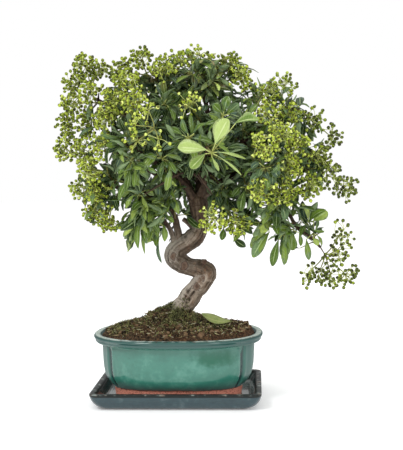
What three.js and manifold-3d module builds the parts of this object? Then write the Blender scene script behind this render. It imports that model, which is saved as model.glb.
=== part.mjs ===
// Narrowleaf firethorn bonsai in a glazed pot on its saucer.
// Millimetres, +Z up, X to the right, Y away from the viewer; the origin is the centre of the
// saucer's underside. One body in all: every piece rests on or stands in the one below it.
import * as THREE from 'three';
import { mergeVertices } from 'three/addons/utils/BufferGeometryUtils.js';
import Module from 'manifold-3d';

const wasm = await Module();
wasm.setup();
const { Manifold, Mesh } = wasm;

// ---- driving dimensions -------------------------------------------------------------------
const GAP = 0.3;                 // clearance between two pieces that touch
const SEAT = 0.3;                // gap between a twig's cut face and the stem that goes on from it
const BERRY_R = 2.3;             // unripe berry, 4.4 mm across as round as three sides allow
const HUB_R = 1.35;              // knot where the stalks of one cluster meet
const STALK_R = 0.5;             // berry stalk at the berry
const STEM_R = 1.1;              // stem of a bunch or leafy shoot
const REACH = 14;                // from a cluster's knot to its furthest berries
const BERRIES = 6;               // berries in a cluster, where there is room
const TOLERANCE = 0.06;          // joins are smoothed by no more than this
const LEAF_T = 1.4;              // leaf over its rib; the mean thickness is half of that

// saucer: half length, half width, corner radius, height
const SAUCER = [
  [81, 61, 9, 0], [88, 67, 11, 2], [94, 70.4, 11, 7], [97.5, 72.2, 10, 14],
  [97.9, 72.5, 9, 18.5], [91.5, 66.5, 6, 18.5], [85.5, 61, 6, 8], [83.5, 59, 6, 6]];

// pot: half length, half width, height, how square the outline is, depth of the seam grooves
const POT = [
  [6, 6, 9, 2, 0], [66, 44, 9, 2.8, 0], [67.5, 45.5, 6.3, 2.8, 0],
  [74, 52, 6.3, 3, 0.3], [75.5, 53.5, 18.5, 3, 0.5], [79.5, 57.5, 21.5, 2.8, 1.6],
  [86, 64, 31, 2.6, 2.2], [89, 67, 46, 2.5, 2.2], [90, 68, 66, 2.45, 2.2],
  [90.6, 68.6, 69.4, 2.4, 0.6], [96.5, 74.5, 70.6, 2.4, 0], [98.6, 76.8, 73.4, 2.4, 0],
  [100, 78.5, 76.6, 2.4, 0], [98.2, 76.7, 79.2, 2.4, 0], [95.5, 74, 79.8, 2.4, 0],
  [92, 70.5, 79, 2.4, 0], [90.4, 68.9, 75, 2.4, 0], [84.5, 62.5, 45, 2.5, 0],
  [77, 55, 23, 2.7, 0], [69, 47, 14, 2.8, 0], [6, 6, 13.5, 2, 0]];
const SEAM_AT = 35;              // degrees of the outline's own angle

// soil below its surface: half length, half width, height, how square the outline is
const SOIL_SIDE = [
  [68.2, 46.2, 14.4, 2.8], [76.4, 54.4, 23.3, 2.7], [84, 62, 45, 2.5],
  [89.9, 68.4, 75, 2.4], [90.3, 68.8, 77.4, 2.4]];
// height of the soil along the middle line, and how wide the mound is from front to back
const SOIL_RIDGE = [[-92, 78], [-82, 86], [-70, 87.4], [-58, 89.6], [-46, 94.8], [-35, 102], [-16, 107.4],
  [0, 107.8], [14, 105.4], [25, 95.4], [36, 89.4], [60, 88], [80, 87], [92, 78]];
const MOUND_DEPTH = 27;
// the trunk's plain hole in the soil: middle, radius, height, down from the surface
const HOLE = [[1.2, 17.4], [-0.6, 15.7, 97], [-0.6, 15.1, 88], [-0.6, 14.3, 66]];

// trunk: x, y, z, radius
const TRUNK = [
  [-0.6, 0, 66.3, 13.8], [-0.6, 0, 88, 14.6], [-0.6, 0, 97, 15.1], [0.4, 0, 107, 14.8], [8.4, 0, 113.6, 13.1],
  [16, -0.5, 122.8, 12.1], [23.4, -1.5, 131.8, 11.5], [29.9, -2.5, 140.4, 11.9], [32.6, -3, 149, 12.3],
  [25.4, -2, 153.6, 11.2], [15, 0, 155.8, 10.8], [4.6, 2, 160, 11.6], [-2.6, 3, 167.4, 12.8],
  [0, 2.5, 176.6, 12.4], [8.4, 1, 182.9, 11.8], [16.8, -0.5, 188.2, 11.2], [23.8, -1.5, 195.8, 10.4],
  [27, -1.5, 205.6, 9.8], [27.4, -1, 216, 9.8], [26, 0, 227, 10.6], [24.5, 0, 237, 10.4], [24, 0, 244, 7.5]];
const TRUNK_SIDES = 12;
const KNOB = [[29, -3, 151, 5.5], [32.5, -4, 158.6, 4.2], [33.6, -4, 163, 2.6]];

// limbs: route from the trunk out, radius at the fork and at the end
const LIMBS = {
  left_up: { from: 5.4, to: 1.7, route: [[22, 0, 229], [15, -4, 247], [3, -10, 273], [-17, -18, 302], [-44, -26, 326], [-71, -28, 343], [-93, -22, 355]] },
  left_low: { from: 5.2, to: 1.7, route: [[3, 0, 182], [0, -3, 202], [-4, -8, 219], [-21, -16, 236], [-46, -22, 248], [-73, -24, 253], [-90, -22, 253]] },
  left_twig: { from: 3.4, to: 1.6, route: [[-2, 0, 182], [-9, -4, 202], [-19, -10, 216], [-33, -16, 227]] },
  stub: { from: 3.4, to: 2.5, route: [[21, 0, 201], [14, -1, 208], [7, -2, 213]] },
  top_left: { from: 4.8, to: 1.6, route: [[18, 0, 238], [8, 8, 268], [1, 14, 300], [-6, 14, 336], [-15, 6, 367], [-24, 0, 384]] },
  top: { from: 5.4, to: 1.6, route: [[28, 0, 232], [39, 4, 268], [41, 6, 300], [37, 4, 338], [32, 0, 371], [31, -6, 387]] },
  right_up: { from: 5.0, to: 1.6, route: [[28, 0, 234], [48, -8, 268], [70, -18, 293], [96, -22, 318], [124, -20, 335], [142, -15, 340]] },
  right: { from: 5.2, to: 1.6, route: [[27, 0, 240], [66, -12, 263], [96, -22, 270], [128, -26, 274], [158, -22, 280], [177, -15, 282]] },
  right_low: { from: 3.0, to: 1.5, route: [[94, -21, 269], [112, -28, 249], [128, -31, 226], [139, -28, 205], [157, -26, 191], [167, -24, 180]] },
  back: { from: 5.0, to: 1.6, route: [[25, 0, 229], [26, 18, 258], [28, 45, 282], [32, 72, 307], [34, 90, 326]] },
  back_left: { from: 3.4, to: 1.6, route: [[26, 16, 256], [1, 44, 282], [-31, 66, 301], [-61, 78, 314]] },
  back_right: { from: 3.6, to: 1.6, route: [[26, 16, 256], [56, 46, 276], [93, 68, 291], [121, 80, 300]] },
  front: { from: 4.8, to: 1.6, route: [[27, 0, 236], [36, -24, 261], [38, -50, 278], [39, -70, 290], [40, -84, 296]] },
  front_left: { from: 4.4, to: 1.6, route: [[23, 0, 234], [8, -26, 257], [-15, -52, 276], [-37, -72, 292], [-51, -82, 302]] },
};

// berry bunches: name, limb, place on the limb from 0 to 1, where the clusters' knots are
const BUNCHES = [
  ['left_crest', 'left_up', 1.0, [[-104, -6, 393], [-115, -14, 372], [-90, 6, 387]]],
  ['left_brow', 'left_up', 0.86, [[-92, -44, 358], [-115, -30, 348]]],
  ['left_cheek', 'left_up', 0.72, [[-64, -60, 350], [-73, -64, 328]]],
  ['left_tip', 'left_up', 0.95, [[-124, -10, 326], [-98, -34, 325]]],
  ['left_out', 'left_low', 1.0, [[-126, -28, 298], [-101, -50, 295]]],
  ['left_mid', 'left_low', 0.8, [[-74, -76, 298], [-91, -58, 274]]],
  ['left_skirt', 'left_low', 0.97, [[-108, -14, 251], [-84, -44, 249]]],
  ['left_hem', 'left_low', 0.75, [[-93, -22, 226], [-76, -32, 215]]],
  ['brow_front', 'left_up', 0.5, [[-48, -66, 369], [-39, -84, 345]]],
  ['crest_left', 'top_left', 0.85, [[-37, -18, 397], [-56, -34, 383]]],
  ['crest_mid', 'top_left', 1.0, [[-11, -42, 384], [2, -18, 393]]],
  ['front_spray', 'front_left', 0.9, [[-28, -104, 325], [-39, -100, 300]]],
  ['top_tip', 'top', 1.0, [[30, -12, 403]]],
  ['top_right', 'top', 0.75, [[76, -22, 373], [62, 4, 392]]],
  ['heart', 'top', 0.45, [[21, -66, 342]]],
  ['right_sprig', 'right_up', 0.85, [[127, -6, 366], [110, -30, 358]]],
  ['right_crown', 'right_up', 0.7, [[107, -66, 330], [130, -44, 332]]],
  ['right_far', 'right_up', 1.0, [[157, -22, 327], [180, -6, 308]]],
  ['right_face', 'right', 0.4, [[100, -92, 296], [122, -74, 307]]],
  ['right_mid', 'right', 0.6, [[138, -58, 296], [129, -72, 272]]],
  ['right_wide', 'right', 0.94, [[163, -44, 285], [174, -32, 262], [194, -12, 249]]],
  ['right_under', 'right', 0.75, [[152, -56, 252]]],
  ['right_breast', 'right', 0.38, [[100, -92, 248], [124, -76, 246]]],
  ['hang_sprig', 'right_low', 1.0, [[166, -26, 153], [191, -32, 177], [196, -16, 148]]],
  ['low_centre', 'right', 0.1, [[44, -60, 217], [71, -52, 212]]],
  ['back_left', 'back_left', 1.0, [[-80, 86, 344], [-47, 70, 372], [-68, 84, 273]]],
  ['back_mid', 'back', 1.0, [[24, 100, 368], [43, 112, 328]]],
  ['back_right', 'back_right', 1.0, [[134, 84, 336], [104, 72, 355], [124, 84, 261]]],
];

// leafy shoots: name, limb, place on the limb, end of the shoot, and for each leaf its base, the
// way from base to tip, its width and how it faces (0 its own way, 1 and 2 broadside, 3 curled)
const SHOOTS = [
  ['young_front', 'front', 1.0, [46, -106, 289], [
    [42, -104, 292, -32, -4, 4, 14, 2], [50, -106, 298, 23, -6, 27, 14, 1],
    [70, -100, 320, 27, 12, 5, 11, 0], [49, -106, 290, 34, 2, -7, 6, 0],
    [50, -108, 287, 29, -4, -21, 4.5, 0], [40, -103, 289, -17, -1, -16, 10, 2],
    [46, -106, 285, 8, -6, -15, 5, 0]]],
  ['low_left', 'left_twig', 1.0, [-39, -30, 220], [
    [-42, -30, 223, -7, -6, -33, 7.5, 0], [-38, -32, 216, -5, -10, -34, 8, 0],
    [-34, -30, 214, -1, 0, -40, 6.5, 0], [-43, -30, 228, -14, 6, -26, 6, 0],
    [-45, -28, 232, -21, 8, -18, 6, 0], [-32, -26, 220, 4, -12, -26, 7, 0]]],
  ['low_mid', 'left_twig', 0.62, [-22, -22, 211], [
    [-19, -20, 192, 0, -4, -29, 6.5, 3], [-26, -22, 208, -5, -8, -18, 7, 0],
    [-19, -24, 211, -1, -8, -18, 7, 0], [-15, -20, 213, 2, -4, -25, 7.5, 0],
    [-18, -24, 220, 14, -6, -14, 7, 0]]],
  ['low_right_a', 'right_low', 0.3, [107, -40, 206], [
    [109, -42, 200, -20, -8, -29, 12, 2], [100, -42, 203, -14, 2, 8, 8, 0],
    [107, -40, 197, 18, -6, 21, 6, 0], [120, -44, 218, -27, -4, -2, 5, 0],
    [111, -40, 206, 20, -4, -7, 9, 1]]],
  ['low_right_b', 'right_low', 0.55, [128, -38, 204], [
    [119, -42, 192, -8, -6, -31, 9, 2], [128, -38, 204, -7, 2, -36, 12, 1],
    [136, -36, 206, -2, 2, -29, 12, 1], [141, -36, 202, 3, -4, -19, 5, 0],
    [132, -40, 208, -16, -6, 19, 9, 0]]],
  ['low_right_c', 'right_low', 0.85, [159, -36, 198], [
    [150, -36, 192, 3, -4, -25, 7, 1], [157, -38, 210, 17, -2, 12, 13, 2],
    [152, -38, 210, -7, -2, 23, 8, 0], [161, -36, 196, 9, 6, -14, 7, 0], [148, -40, 203, 9, -6, -11, 8, 0]]],
  ['crown_top', 'top', 0.75, [22, -9, 389], [
    [22, -8, 393, -8, -2, 18, 9, 1], [18, -6, 389, -14, 2, 12, 9, 0], [35, -4, 394, 13, 4, 14, 6, 0],
    [30, -12, 388, -9, -14, -19, 8, 0],
    [28, -14, 390, 7, -12, -17, 9, 1]]],
  ['crown_right', 'top', 0.65, [66, 8, 390], [
    [62, 8, 390, -9, 4, 17, 6, 0], [66, 8, 392, 0, 6, 12, 7, 0], [71, 6, 392, 8, -2, 4, 7, 0],
    [69, 2, 384, 16, -8, -3, 8, 0], [62, 0, 382, -10, -14, -17, 8, 0]]],
  ['right_grey', 'right_up', 0.45, [101, -16, 355], [
    [101, -16, 354, 12, 2, 19, 11, 1], [97, -14, 354, -10, 4, 15, 9, 1],
    [96, -20, 345, -9, -10, -10, 9, 0], [103, -26, 346, 8, -14, -12, 8, 0],
    [108, -14, 359, 11, -10, -14, 8, 1], [94, -10, 360, -12, 6, -4, 8, 0]]],
  ['brow_leaf', 'left_up', 0.62, [-63, 2, 372], [
    [-61, 2, 370, -8, 4, 20, 12, 1], [-66, 2, 375, -11, 2, 7, 7, 0], [-59, 4, 372, 9, 4, 17, 8, 0],
    [-67, -4, 367, -15, -8, -5, 8, 0],
    [-58, -6, 362, 15, -8, -8, 8, 1], [-72, -4, 363, -1, -10, -17, 8, 0]]],
  ['dark_right', 'right', 0.12, [55, -36, 245], [
    [55, -38, 248, -11, -6, -24, 11, 2], [59, -34, 245, -12, 2, -21, 9, 1],
    [61, -34, 250, 14, -6, 9, 8, 0], [50, -38, 250, -12, -6, 9, 7, 0], [61, -34, 240, 2, 0, -18, 8, 0]]],
  ['dark_mid', 'right', 0.28, [82, -50, 250], [
    [82, -54, 248, -6, -6, -24, 11, 1], [87, -52, 248, 9, 0, -27, 12, 1], [91, -50, 254, 16, 0, -9, 9, 0],
    [78, -50, 254, -11, -6, -13, 9, 0], [87, -52, 256, 14, -8, 11, 8, 0]]],
  ['deep_right', 'right', 0.45, [104, -86, 272], [
    [100, -88, 274, -4, -4, -11, 8, 0], [107, -88, 277, 11, -4, -15, 11, 2],
    [102, -90, 281, -13, -8, -8, 8, 0], [109, -88, 270, 2, -4, -17, 9, 0],
    [100, -86, 268, -13, -6, -11, 8, 1]]],
  ['heart_a', 'top', 0.35, [57, -74, 330], [
    [57, -74, 332, -10, -2, 11, 11, 2], [59, -76, 334, 5, -4, 17, 12, 2], [61, -74, 330, 15, 2, 13, 10, 1],
    [59, -78, 323, -2, -10, -20, 9, 0], [66, -76, 334, 15, -8, -5, 10, 1]]],
  ['heart_b', 'top_left', 0.45, [-9, -52, 345], [
    [-11, -52, 347, -10, -12, -20, 7, 1], [-7, -50, 350, 12, -6, 8, 8, 0],
    [-11, -50, 352, -13, -8, 6, 7, 0], [-4, -54, 343, 7, -8, -18, 7, 0], [-7, -48, 354, -2, -2, 18, 8, 0]]],
  ['heart_c', 'front', 0.6, [20, -86, 306], [
    [18, -88, 308, -15, -8, -6, 7, 0], [20, -86, 310, -6, -6, 17, 7, 0],
    [16, -88, 304, -15, -6, -13, 6, 0], [26, -84, 310, 11, -6, 11, 7, 0],
    [22, -88, 299, 6, -4, -18, 9, 2], [13, -86, 310, -15, -4, 7, 8, 1]]],
  ['mid_left', 'front_left', 0.4, [-9, -82, 284], [
    [-12, -82, 287, -15, -8, -13, 7, 0], [-7, -84, 284, -4, -8, -20, 8, 1],
    [-5, -84, 289, 16, -8, -13, 7, 0], [-12, -80, 291, -10, -4, 11, 7, 0], [-3, -82, 282, 9, -6, -15, 7, 0]]],
  ['left_inner', 'front_left', 0.75, [-44, -90, 283], [
    [-46, -92, 285, -10, -6, -17, 8, 1], [-44, -92, 280, -2, -6, -22, 9, 1],
    [-39, -90, 283, 7, -4, -20, 8, 0], [-48, -90, 289, -13, -2, -4, 8, 0], [-37, -88, 287, 14, -4, -5, 7, 0]]],
  ['left_fall', 'left_low', 0.5, [-41, -46, 244], [
    [-43, -48, 246, -11, -6, -18, 7, 0], [-40, -48, 244, -2, -6, -22, 8, 0],
    [-36, -46, 244, 7, -6, -20, 7, 0], [-45, -46, 251, -16, -4, -9, 7, 0], [-36, -44, 251, 14, -6, -9, 7, 0]]],
  ['side_trunk', 'left_low', 0.25, [-2, -40, 241], [
    [-4, -42, 241, -9, -6, -20, 8, 0], [0, -42, 241, 5, -4, -20, 8, 0], [2, -40, 248, 14, -4, 4, 8, 0],
    [-7, -40, 248, -11, -6, 12, 8, 0],
    [-9, -42, 239, -16, -4, -4, 8, 1]]],
  ['right_lobe', 'right_low', 0.15, [120, -52, 234], [
    [118, -54, 234, -11, -6, -13, 9, 0], [122, -54, 232, 4, -4, -18, 10, 1],
    [127, -50, 236, 16, 0, -7, 9, 0], [116, -52, 238, -14, -6, 0, 8, 0],
    [111, -50, 229, -11, -2, -20, 8, 1]]],
  ['far_right', 'right', 0.8, [157, 6, 280], [
    [155, 8, 283, -9, 6, -12, 8, 0], [160, 10, 285, -7, 8, 10, 9, 1], [164, 8, 280, 14, 2, -7, 8, 0],
    [160, 10, 273, 2, 4, -17, 9, 0],
    [150, 8, 278, -14, 4, 5, 9, 1]]],
  ['back_a', 'back', 0.75, [-4, 92, 343], [
    [-7, 94, 346, -16, 4, 10, 9, 0], [-2, 94, 348, 8, 4, 20, 9, 0], [-10, 94, 338, -18, 4, -12, 9, 0],
    [0, 96, 338, 9, 8, -20, 9, 0],
    [1, 96, 343, 20, 8, 3, 9, 0]]],
  ['back_b', 'back', 0.55, [71, 92, 299], [
    [69, 94, 302, -10, 4, 18, 9, 0], [76, 94, 302, 18, 4, 7, 9, 0], [71, 96, 294, -6, 8, -23, 9, 0],
    [79, 94, 294, 15, 6, -15, 9, 0]]],
  ['back_c', 'back_right', 0.5, [98, 80, 251], [
    [96, 82, 251, -13, 8, -20, 9, 0], [101, 84, 249, 5, 8, -23, 9, 0], [106, 82, 254, 18, 6, -13, 9, 0],
    [94, 84, 259, -18, 6, -2, 9, 0]]],
  ['back_d', 'back_left', 0.45, [-52, 74, 238], [
    [-55, 76, 240, -19, 8, -10, 9, 0], [-52, 78, 235, -4, 8, -23, 9, 0], [-47, 76, 238, 14, 6, -15, 9, 0],
    [-57, 76, 248, -16, 8, 8, 9, 0]]],
  ['low_centre', 'right', 0.12, [66, -30, 210], [
    [67, -40, 193, 14, -6, -10, 9, 2], [56, -36, 204, -2, -8, -13, 8, 1], [72, -34, 206, 17, -6, -8, 8, 1],
    [61, -34, 211, -13, -6, 12, 8, 0], [75, -34, 213, 12, -4, 14, 8, 0]]],
];

// ---- helpers ------------------------------------------------------------------------------
const vec = (a) => new THREE.Vector3(a[0], a[1], a[2]);
const along = (a, b) => b.clone().sub(a).normalize();
const mix = (a, b, t) => a.clone().lerp(b, t);
const place = (a, dir, by) => a.clone().addScaledVector(dir, by);
const CROWN = vec([30, 0, 285]);

// seeded number from 0 to 1
function draw(seed, k) {
  const s = Math.sin(seed * 127.1 + k * 311.7) * 43758.5453;
  return s - Math.floor(s);
}

// a unit vector across the given one
function across(dir) {
  const ref = Math.abs(dir.z) < 0.8 ? vec([0, 0, 1]) : vec([0, 1, 0]);
  return ref.addScaledVector(dir, -ref.dot(dir)).normalize();
}

// closed body from rings with equally many points; an end is a pole, or flat when its pole is
// null, and with no ends given the last ring joins the first
function loft(rings, first, last) {
  const n = rings[0].length, p = rings.flat().flatMap((v) => [v.x, v.y, v.z]), t = [];
  const id = (i, k) => (i % rings.length) * n + (k % n), end = rings.length - 1;
  for (let i = 0; i < rings.length - (first === undefined ? 0 : 1); i++)
    for (let k = 0; k < n; k++)
      t.push(id(i, k), id(i, k + 1), id(i + 1, k), id(i, k + 1), id(i + 1, k + 1), id(i + 1, k));
  if (first === undefined) return { p, t };
  const pole = (v) => p.push(v.x, v.y, v.z) / 3 - 1;
  const a = first && pole(first), b = last && pole(last);
  for (let k = 0; k < n; k++) {
    if (first) t.push(a, id(0, k + 1), id(0, k));
    else if (k > 1) t.push(id(0, 0), id(0, k), id(0, k - 1));
    if (last) t.push(b, id(end, k), id(end, k + 1));
    else if (k > 1) t.push(id(end, 0), id(end, k - 1), id(end, k));
  }
  return { p, t };
}

// round bar through the points, with a radius at each
function bar(points, radii, sides, ripple) {
  const rings = [];
  let up = null;
  points.forEach((c, i) => {
    const dir = along(points[Math.max(i - 1, 0)], points[Math.min(i + 1, points.length - 1)]);
    up = up ? up.addScaledVector(dir, -up.dot(dir)).normalize() : across(dir);
    const side = dir.clone().cross(up);
    rings.push(Array.from({ length: sides }, (_, k) => {
      const a = (2 * Math.PI * k) / sides, r = radii[i] * (ripple ? ripple(i, a) : 1);
      return place(place(c, up, r * Math.cos(a)), side, r * Math.sin(a));
    }));
    up = up.clone();
  });
  return loft(rings, null, null);
}

function solid({ p, t }) {
  return new Manifold(new Mesh({ numProp: 3, vertProperties: Float32Array.from(p), triVerts: Uint32Array.from(t) }));
}

function boxOf({ p }) {
  const box = new THREE.Box3();
  for (let i = 0; i < p.length; i += 3) box.expandByPoint(vec([p[i], p[i + 1], p[i + 2]]));
  return box;
}

// everything placed so far, to keep the pieces of different nodes apart
const placed = [];
function keep(node, raw) {
  placed.push({ node, box: boxOf(raw), body: solid(raw) });
  return raw;
}
function isClear(node, raw, gap = GAP) {
  const box = boxOf(raw).expandByScalar(gap);
  const near = placed.filter((q) => q.node !== node && q.box.intersectsBox(box));
  if (!near.length) return true;
  const body = solid(raw);
  return near.every((q) => body.minGap(q.body, 2 * gap) > gap - 0.03);
}

function geometryOf({ p, t }) {
  let g = new THREE.BufferGeometry();
  g.setAttribute('position', new THREE.Float32BufferAttribute(p, 3));
  g.setIndex(Array.from(t));
  g = mergeVertices(g, 0.001);
  g.computeVertexNormals();
  return g;
}
function joined(raws) {
  const m = Manifold.union(raws.map(solid)).simplify(TOLERANCE).getMesh(), p = [];
  for (let i = 0; i < m.numVert; i++) p.push(...m.vertProperties.slice(i * m.numProp, i * m.numProp + 3));
  return { p, t: m.triVerts };
}

const group = new THREE.Group();
group.name = 'firethorn_bonsai';
function add(name, raw, colour, roughness) {
  const mesh = new THREE.Mesh(geometryOf(raw), new THREE.MeshStandardMaterial({ color: colour, roughness }));
  mesh.name = name;
  group.add(mesh);
}

// ---- saucer, pot and soil -----------------------------------------------------------------
// rectangle with round corners: seven points on each corner and one in the middle of each side
function trayRing([a, b, r, z]) {
  const ring = [];
  for (let q = 0; q < 4; q++) {
    const cx = (q === 0 || q === 3 ? 1 : -1) * (a - r), cy = (q < 2 ? 1 : -1) * (b - r);
    ring.push(vec(q % 2 ? [0, cy + Math.sign(cy) * r, z] : [cx + Math.sign(cx) * r, 0, z]));
    for (let k = 0; k < 6; k++) {
      const t = (q + k / 5) * Math.PI / 2;
      ring.push(vec([cx + r * Math.cos(t), cy + r * Math.sin(t), z]));
    }
  }
  return ring;
}

// the pot's outline angles in degrees, close together at the four seams
const steps = [15, 31.5, SEAM_AT, 38.5, 50, 63, 77];
const POT_ANGLES = [];
for (let q = 0; q < 4; q++) {
  POT_ANGLES.push(90 * q);
  (q % 2 ? steps.map((s) => 90 - s).reverse() : steps).forEach((s) => POT_ANGLES.push(90 * q + s));
}
function ovalPoint(a, b, n, degrees) {
  const c = Math.cos(degrees * Math.PI / 180), s = Math.sin(degrees * Math.PI / 180);
  return [a * Math.sign(c) * Math.abs(c) ** (2 / n), b * Math.sign(s) * Math.abs(s) ** (2 / n)];
}
function potRing([a, b, z, n, seam]) {
  return POT_ANGLES.map((t) => {
    const folded = Math.min(t % 180, 180 - (t % 180));
    const [x, y] = ovalPoint(a, b, n, t), d = Math.hypot(x, y);
    const k = 1 - (Math.abs(folded - SEAM_AT) < 1 ? seam : 0) / d;
    return vec([x * k, y * k, z]);
  });
}

// height of the soil: level with the wall at the edge, a little higher inside, a mound at the trunk
function ridge(x) {
  let i = 1;
  while (i < SOIL_RIDGE.length - 1 && x > SOIL_RIDGE[i][0]) i++;
  const [x0, z0] = SOIL_RIDGE[i - 1], [x1, z1] = SOIL_RIDGE[i];
  return z0 + (z1 - z0) * THREE.MathUtils.clamp((x - x0) / (x1 - x0), 0, 1);
}
function soilHeight(x, y) {
  const [a, b] = SOIL_SIDE[4];
  const s = Math.min(1, (Math.abs(x / a) ** 2.4 + Math.abs(y / b) ** 2.4) ** (1 / 2.4));
  return 77.4 + 9.8 * (1 - s ** 7) + Math.max(0, ridge(x) - 87) * Math.exp(-((y / MOUND_DEPTH) ** 2));
}
function soilBody() {
  const rings = SOIL_SIDE.map(([a, b, z, n]) => potRing([a, b, z, n, 0]));
  const rim = rings[rings.length - 1], [hx, hr] = HOLE[0];
  const bore = (x, r, z) => POT_ANGLES.map((t, k) => {
    const a = Math.atan2(rim[k].y, rim[k].x), px = x + r * Math.cos(a), py = r * Math.sin(a);
    return vec([px, py, z ?? soilHeight(px, py)]);
  });
  const mouth = bore(hx, hr);
  [0.93, 0.78, 0.58, 0.38, 0.18].forEach((s, i) => rings.push(mouth.map((m, k) => {
    const x = m.x + (rim[k].x - m.x) * s, y = m.y + (rim[k].y - m.y) * s;
    return vec([x, y, soilHeight(x, y) + 1.6 * (draw(3 + i, k) - 0.5)]);
  })));
  rings.push(mouth, ...HOLE.slice(1).map(([x, r, z]) => bore(x, r, z)));
  return loft(rings, vec([0, 0, SOIL_SIDE[0][2]]), vec([HOLE[3][0], 0, HOLE[3][2]]));
}

add('saucer', loft(SAUCER.map(trayRing), vec([0, 0, 0]), vec([0, 0, 6])), 0x3f5358, 0.25);
add('pot', loft(POT.map(potRing)), 0x5d9484, 0.25);
const soil = keep('soil', soilBody());
add('soil', soil, 0x4a3728, 0.95);

// ---- trunk with its limbs and twigs -------------------------------------------------------
const wood = [];
wood.push(bar(TRUNK.map(vec), TRUNK.map((r) => r[3]), TRUNK_SIDES,
  (i, a) => (i < 4 ? 1 : 1 + 0.035 * Math.sin(2 * a + 1.3 * i) + 0.03 * Math.sin(5 * a - 0.7 * i))));
wood.push(bar(KNOB.map(vec), KNOB.map((r) => r[3]), 7));

// place on a limb, 0 at the trunk and 1 at its end, and the limb's radius there
function onLimb(name, t) {
  const { route, from, to } = LIMBS[name], s = t * (route.length - 1), i = Math.min(Math.floor(s), route.length - 2);
  return { at: mix(vec(route[i]), vec(route[i + 1]), s - i), r: from + (to - from) * t ** 0.8 };
}
for (const [name, { route }] of Object.entries(LIMBS))
  wood.push(bar(route.map(vec), route.map((_, i) => onLimb(name, i / (route.length - 1)).r), name === 'stub' ? 5 : 4));

// the twig that carries a bunch or shoot, and where and which way its stem goes on
function twig(limb, t, target) {
  const { at, r } = onLimb(limb, t), dir = along(at, target);
  const cut = place(at, dir, r + Math.min(7, 0.3 * at.distanceTo(target)));
  wood.push(bar([place(at, dir, -0.5 * r), cut], [STEM_R * 1.15, STEM_R], 3));
  return { start: place(cut, dir, SEAT), dir };
}
const middleOf = (list) => list.reduce((a, b) => a.add(vec(b)), vec([0, 0, 0])).divideScalar(list.length);
const bunchStarts = BUNCHES.map(([, limb, t, knots]) => twig(limb, t, middleOf(knots)));
const shootStarts = SHOOTS.map(([, limb, t, end]) => twig(limb, t, vec(end)));
wood.forEach((raw) => keep('trunk', raw));
add('trunk', joined(wood), 0x6b5240, 0.9);

// ---- what grows from the twigs: one skin for each bunch and each shoot ---------------------
const KNOT_POINTS = [[1, 0, 0], [-1, 0, 0], [0, 1, 0], [0, -1, 0], [0, 0, 1], [0, 0, -1]].map(vec);
const KNOT_FACES = [[0, 2, 4], [2, 1, 4], [1, 3, 4], [3, 0, 4], [2, 0, 5], [1, 2, 5], [3, 1, 5], [0, 3, 5]];
const KNOT_BASE = new THREE.Matrix4().makeBasis(vec([2, -1, -1]).normalize(), vec([0, 1, -1]).normalize(), vec([1, 1, 1]).normalize());

// three unit vectors across dir, from the first one
const triad = (dir, e) => [0, 1, 2].map((k) => e.clone().applyAxisAngle(dir, (k * 2 * Math.PI) / 3));
const flatten = (e, dir) => e.clone().addScaledVector(dir, -e.dot(dir)).normalize();

// the open skin of one node: a three-sided stem, eight-sided knots, and what is drawn out of
// their faces, all sharing corners, so that nothing has to be cut or joined
class Skin {
  constructor(node) { this.node = node; this.v = []; this.t = []; this.parts = []; this.knots = []; }
  get p() { return this.v.flatMap((q) => q.toArray()); }
  ring(points) { return points.map((q) => this.v.push(q) - 1); }
  band(a, b) {
    for (let k = 0; k < 3; k++) {
      const m = (k + 1) % 3;
      this.t.push(a[k], a[m], b[k], a[m], b[m], b[k]);
    }
  }
  close(a, tip) {
    const [i] = this.ring([tip]);
    for (let k = 0; k < 3; k++) this.t.push(i, a[k], a[(k + 1) % 3]);
  }
  // eight-sided knot that the stem enters through its first face
  knot(centre, dir, e) {
    const back = dir.clone().negate(), m = new THREE.Matrix4().makeBasis(e, back.clone().cross(e), back);
    m.multiply(KNOT_BASE.clone().transpose());
    const c = this.ring(KNOT_POINTS.map((v) => place(centre, v.clone().applyMatrix4(m), HUB_R)));
    const faces = KNOT_FACES.map((f) => ({
      ids: f.map((i) => c[i]), corners: f.map((i) => KNOT_POINTS[i].clone().applyMatrix4(m)),
      n: f.reduce((a, i) => a.add(KNOT_POINTS[i]), vec([0, 0, 0])).applyMatrix4(m).normalize(),
    }));
    const knot = { centre, entry: [c[0], c[4], c[2]], faces: faces.slice(1) };
    this.knots.push(knot);
    return knot;
  }
  shut(knot) { knot.faces.forEach((f) => { if (!f.used) this.t.push(...f.ids); }); }
  // is the piece clear of other nodes, and its outer part of the rest of this one?
  fits(whole, outer, gap = GAP) {
    if (!isClear(this.node, whole, gap)) return false;
    const box = boxOf(outer).expandByScalar(0.3), near = this.parts.filter((q) => q.box.intersectsBox(box));
    return !near.length || near.every((q) => solid(outer).minGap(q.body, 0.3) > 0.12);
  }
  keep(whole, outer) {
    keep(this.node, whole);
    this.parts.push({ box: boxOf(outer), body: solid(outer) });
  }
  // draw a piece out; it is taken back when one of its faces goes through another of the skin
  grow(lay, whole, outer) {
    const v = this.v.length, t = this.t.length, k = this.knots.length, made = lay();
    const open = this.knots.flatMap((q) => q.faces.filter((f) => !f.used).flatMap((f) => f.ids));
    const ids = [...this.t, ...open], faces = [];
    for (let i = 0; i < ids.length; i += 3) faces.push([0, 1, 2].map((m) => this.v[ids[i + m]]));
    const now = faces.slice(t / 3, this.t.length / 3);
    if (!now.some((a) => faces.some((b) => a !== b && (pierces(a, b) || pierces(b, a))))) {
      this.keep(whole, outer);
      return made;
    }
    this.v.length = v;
    this.t.length = t;
    this.knots.length = k;
    return null;
  }
}

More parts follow.
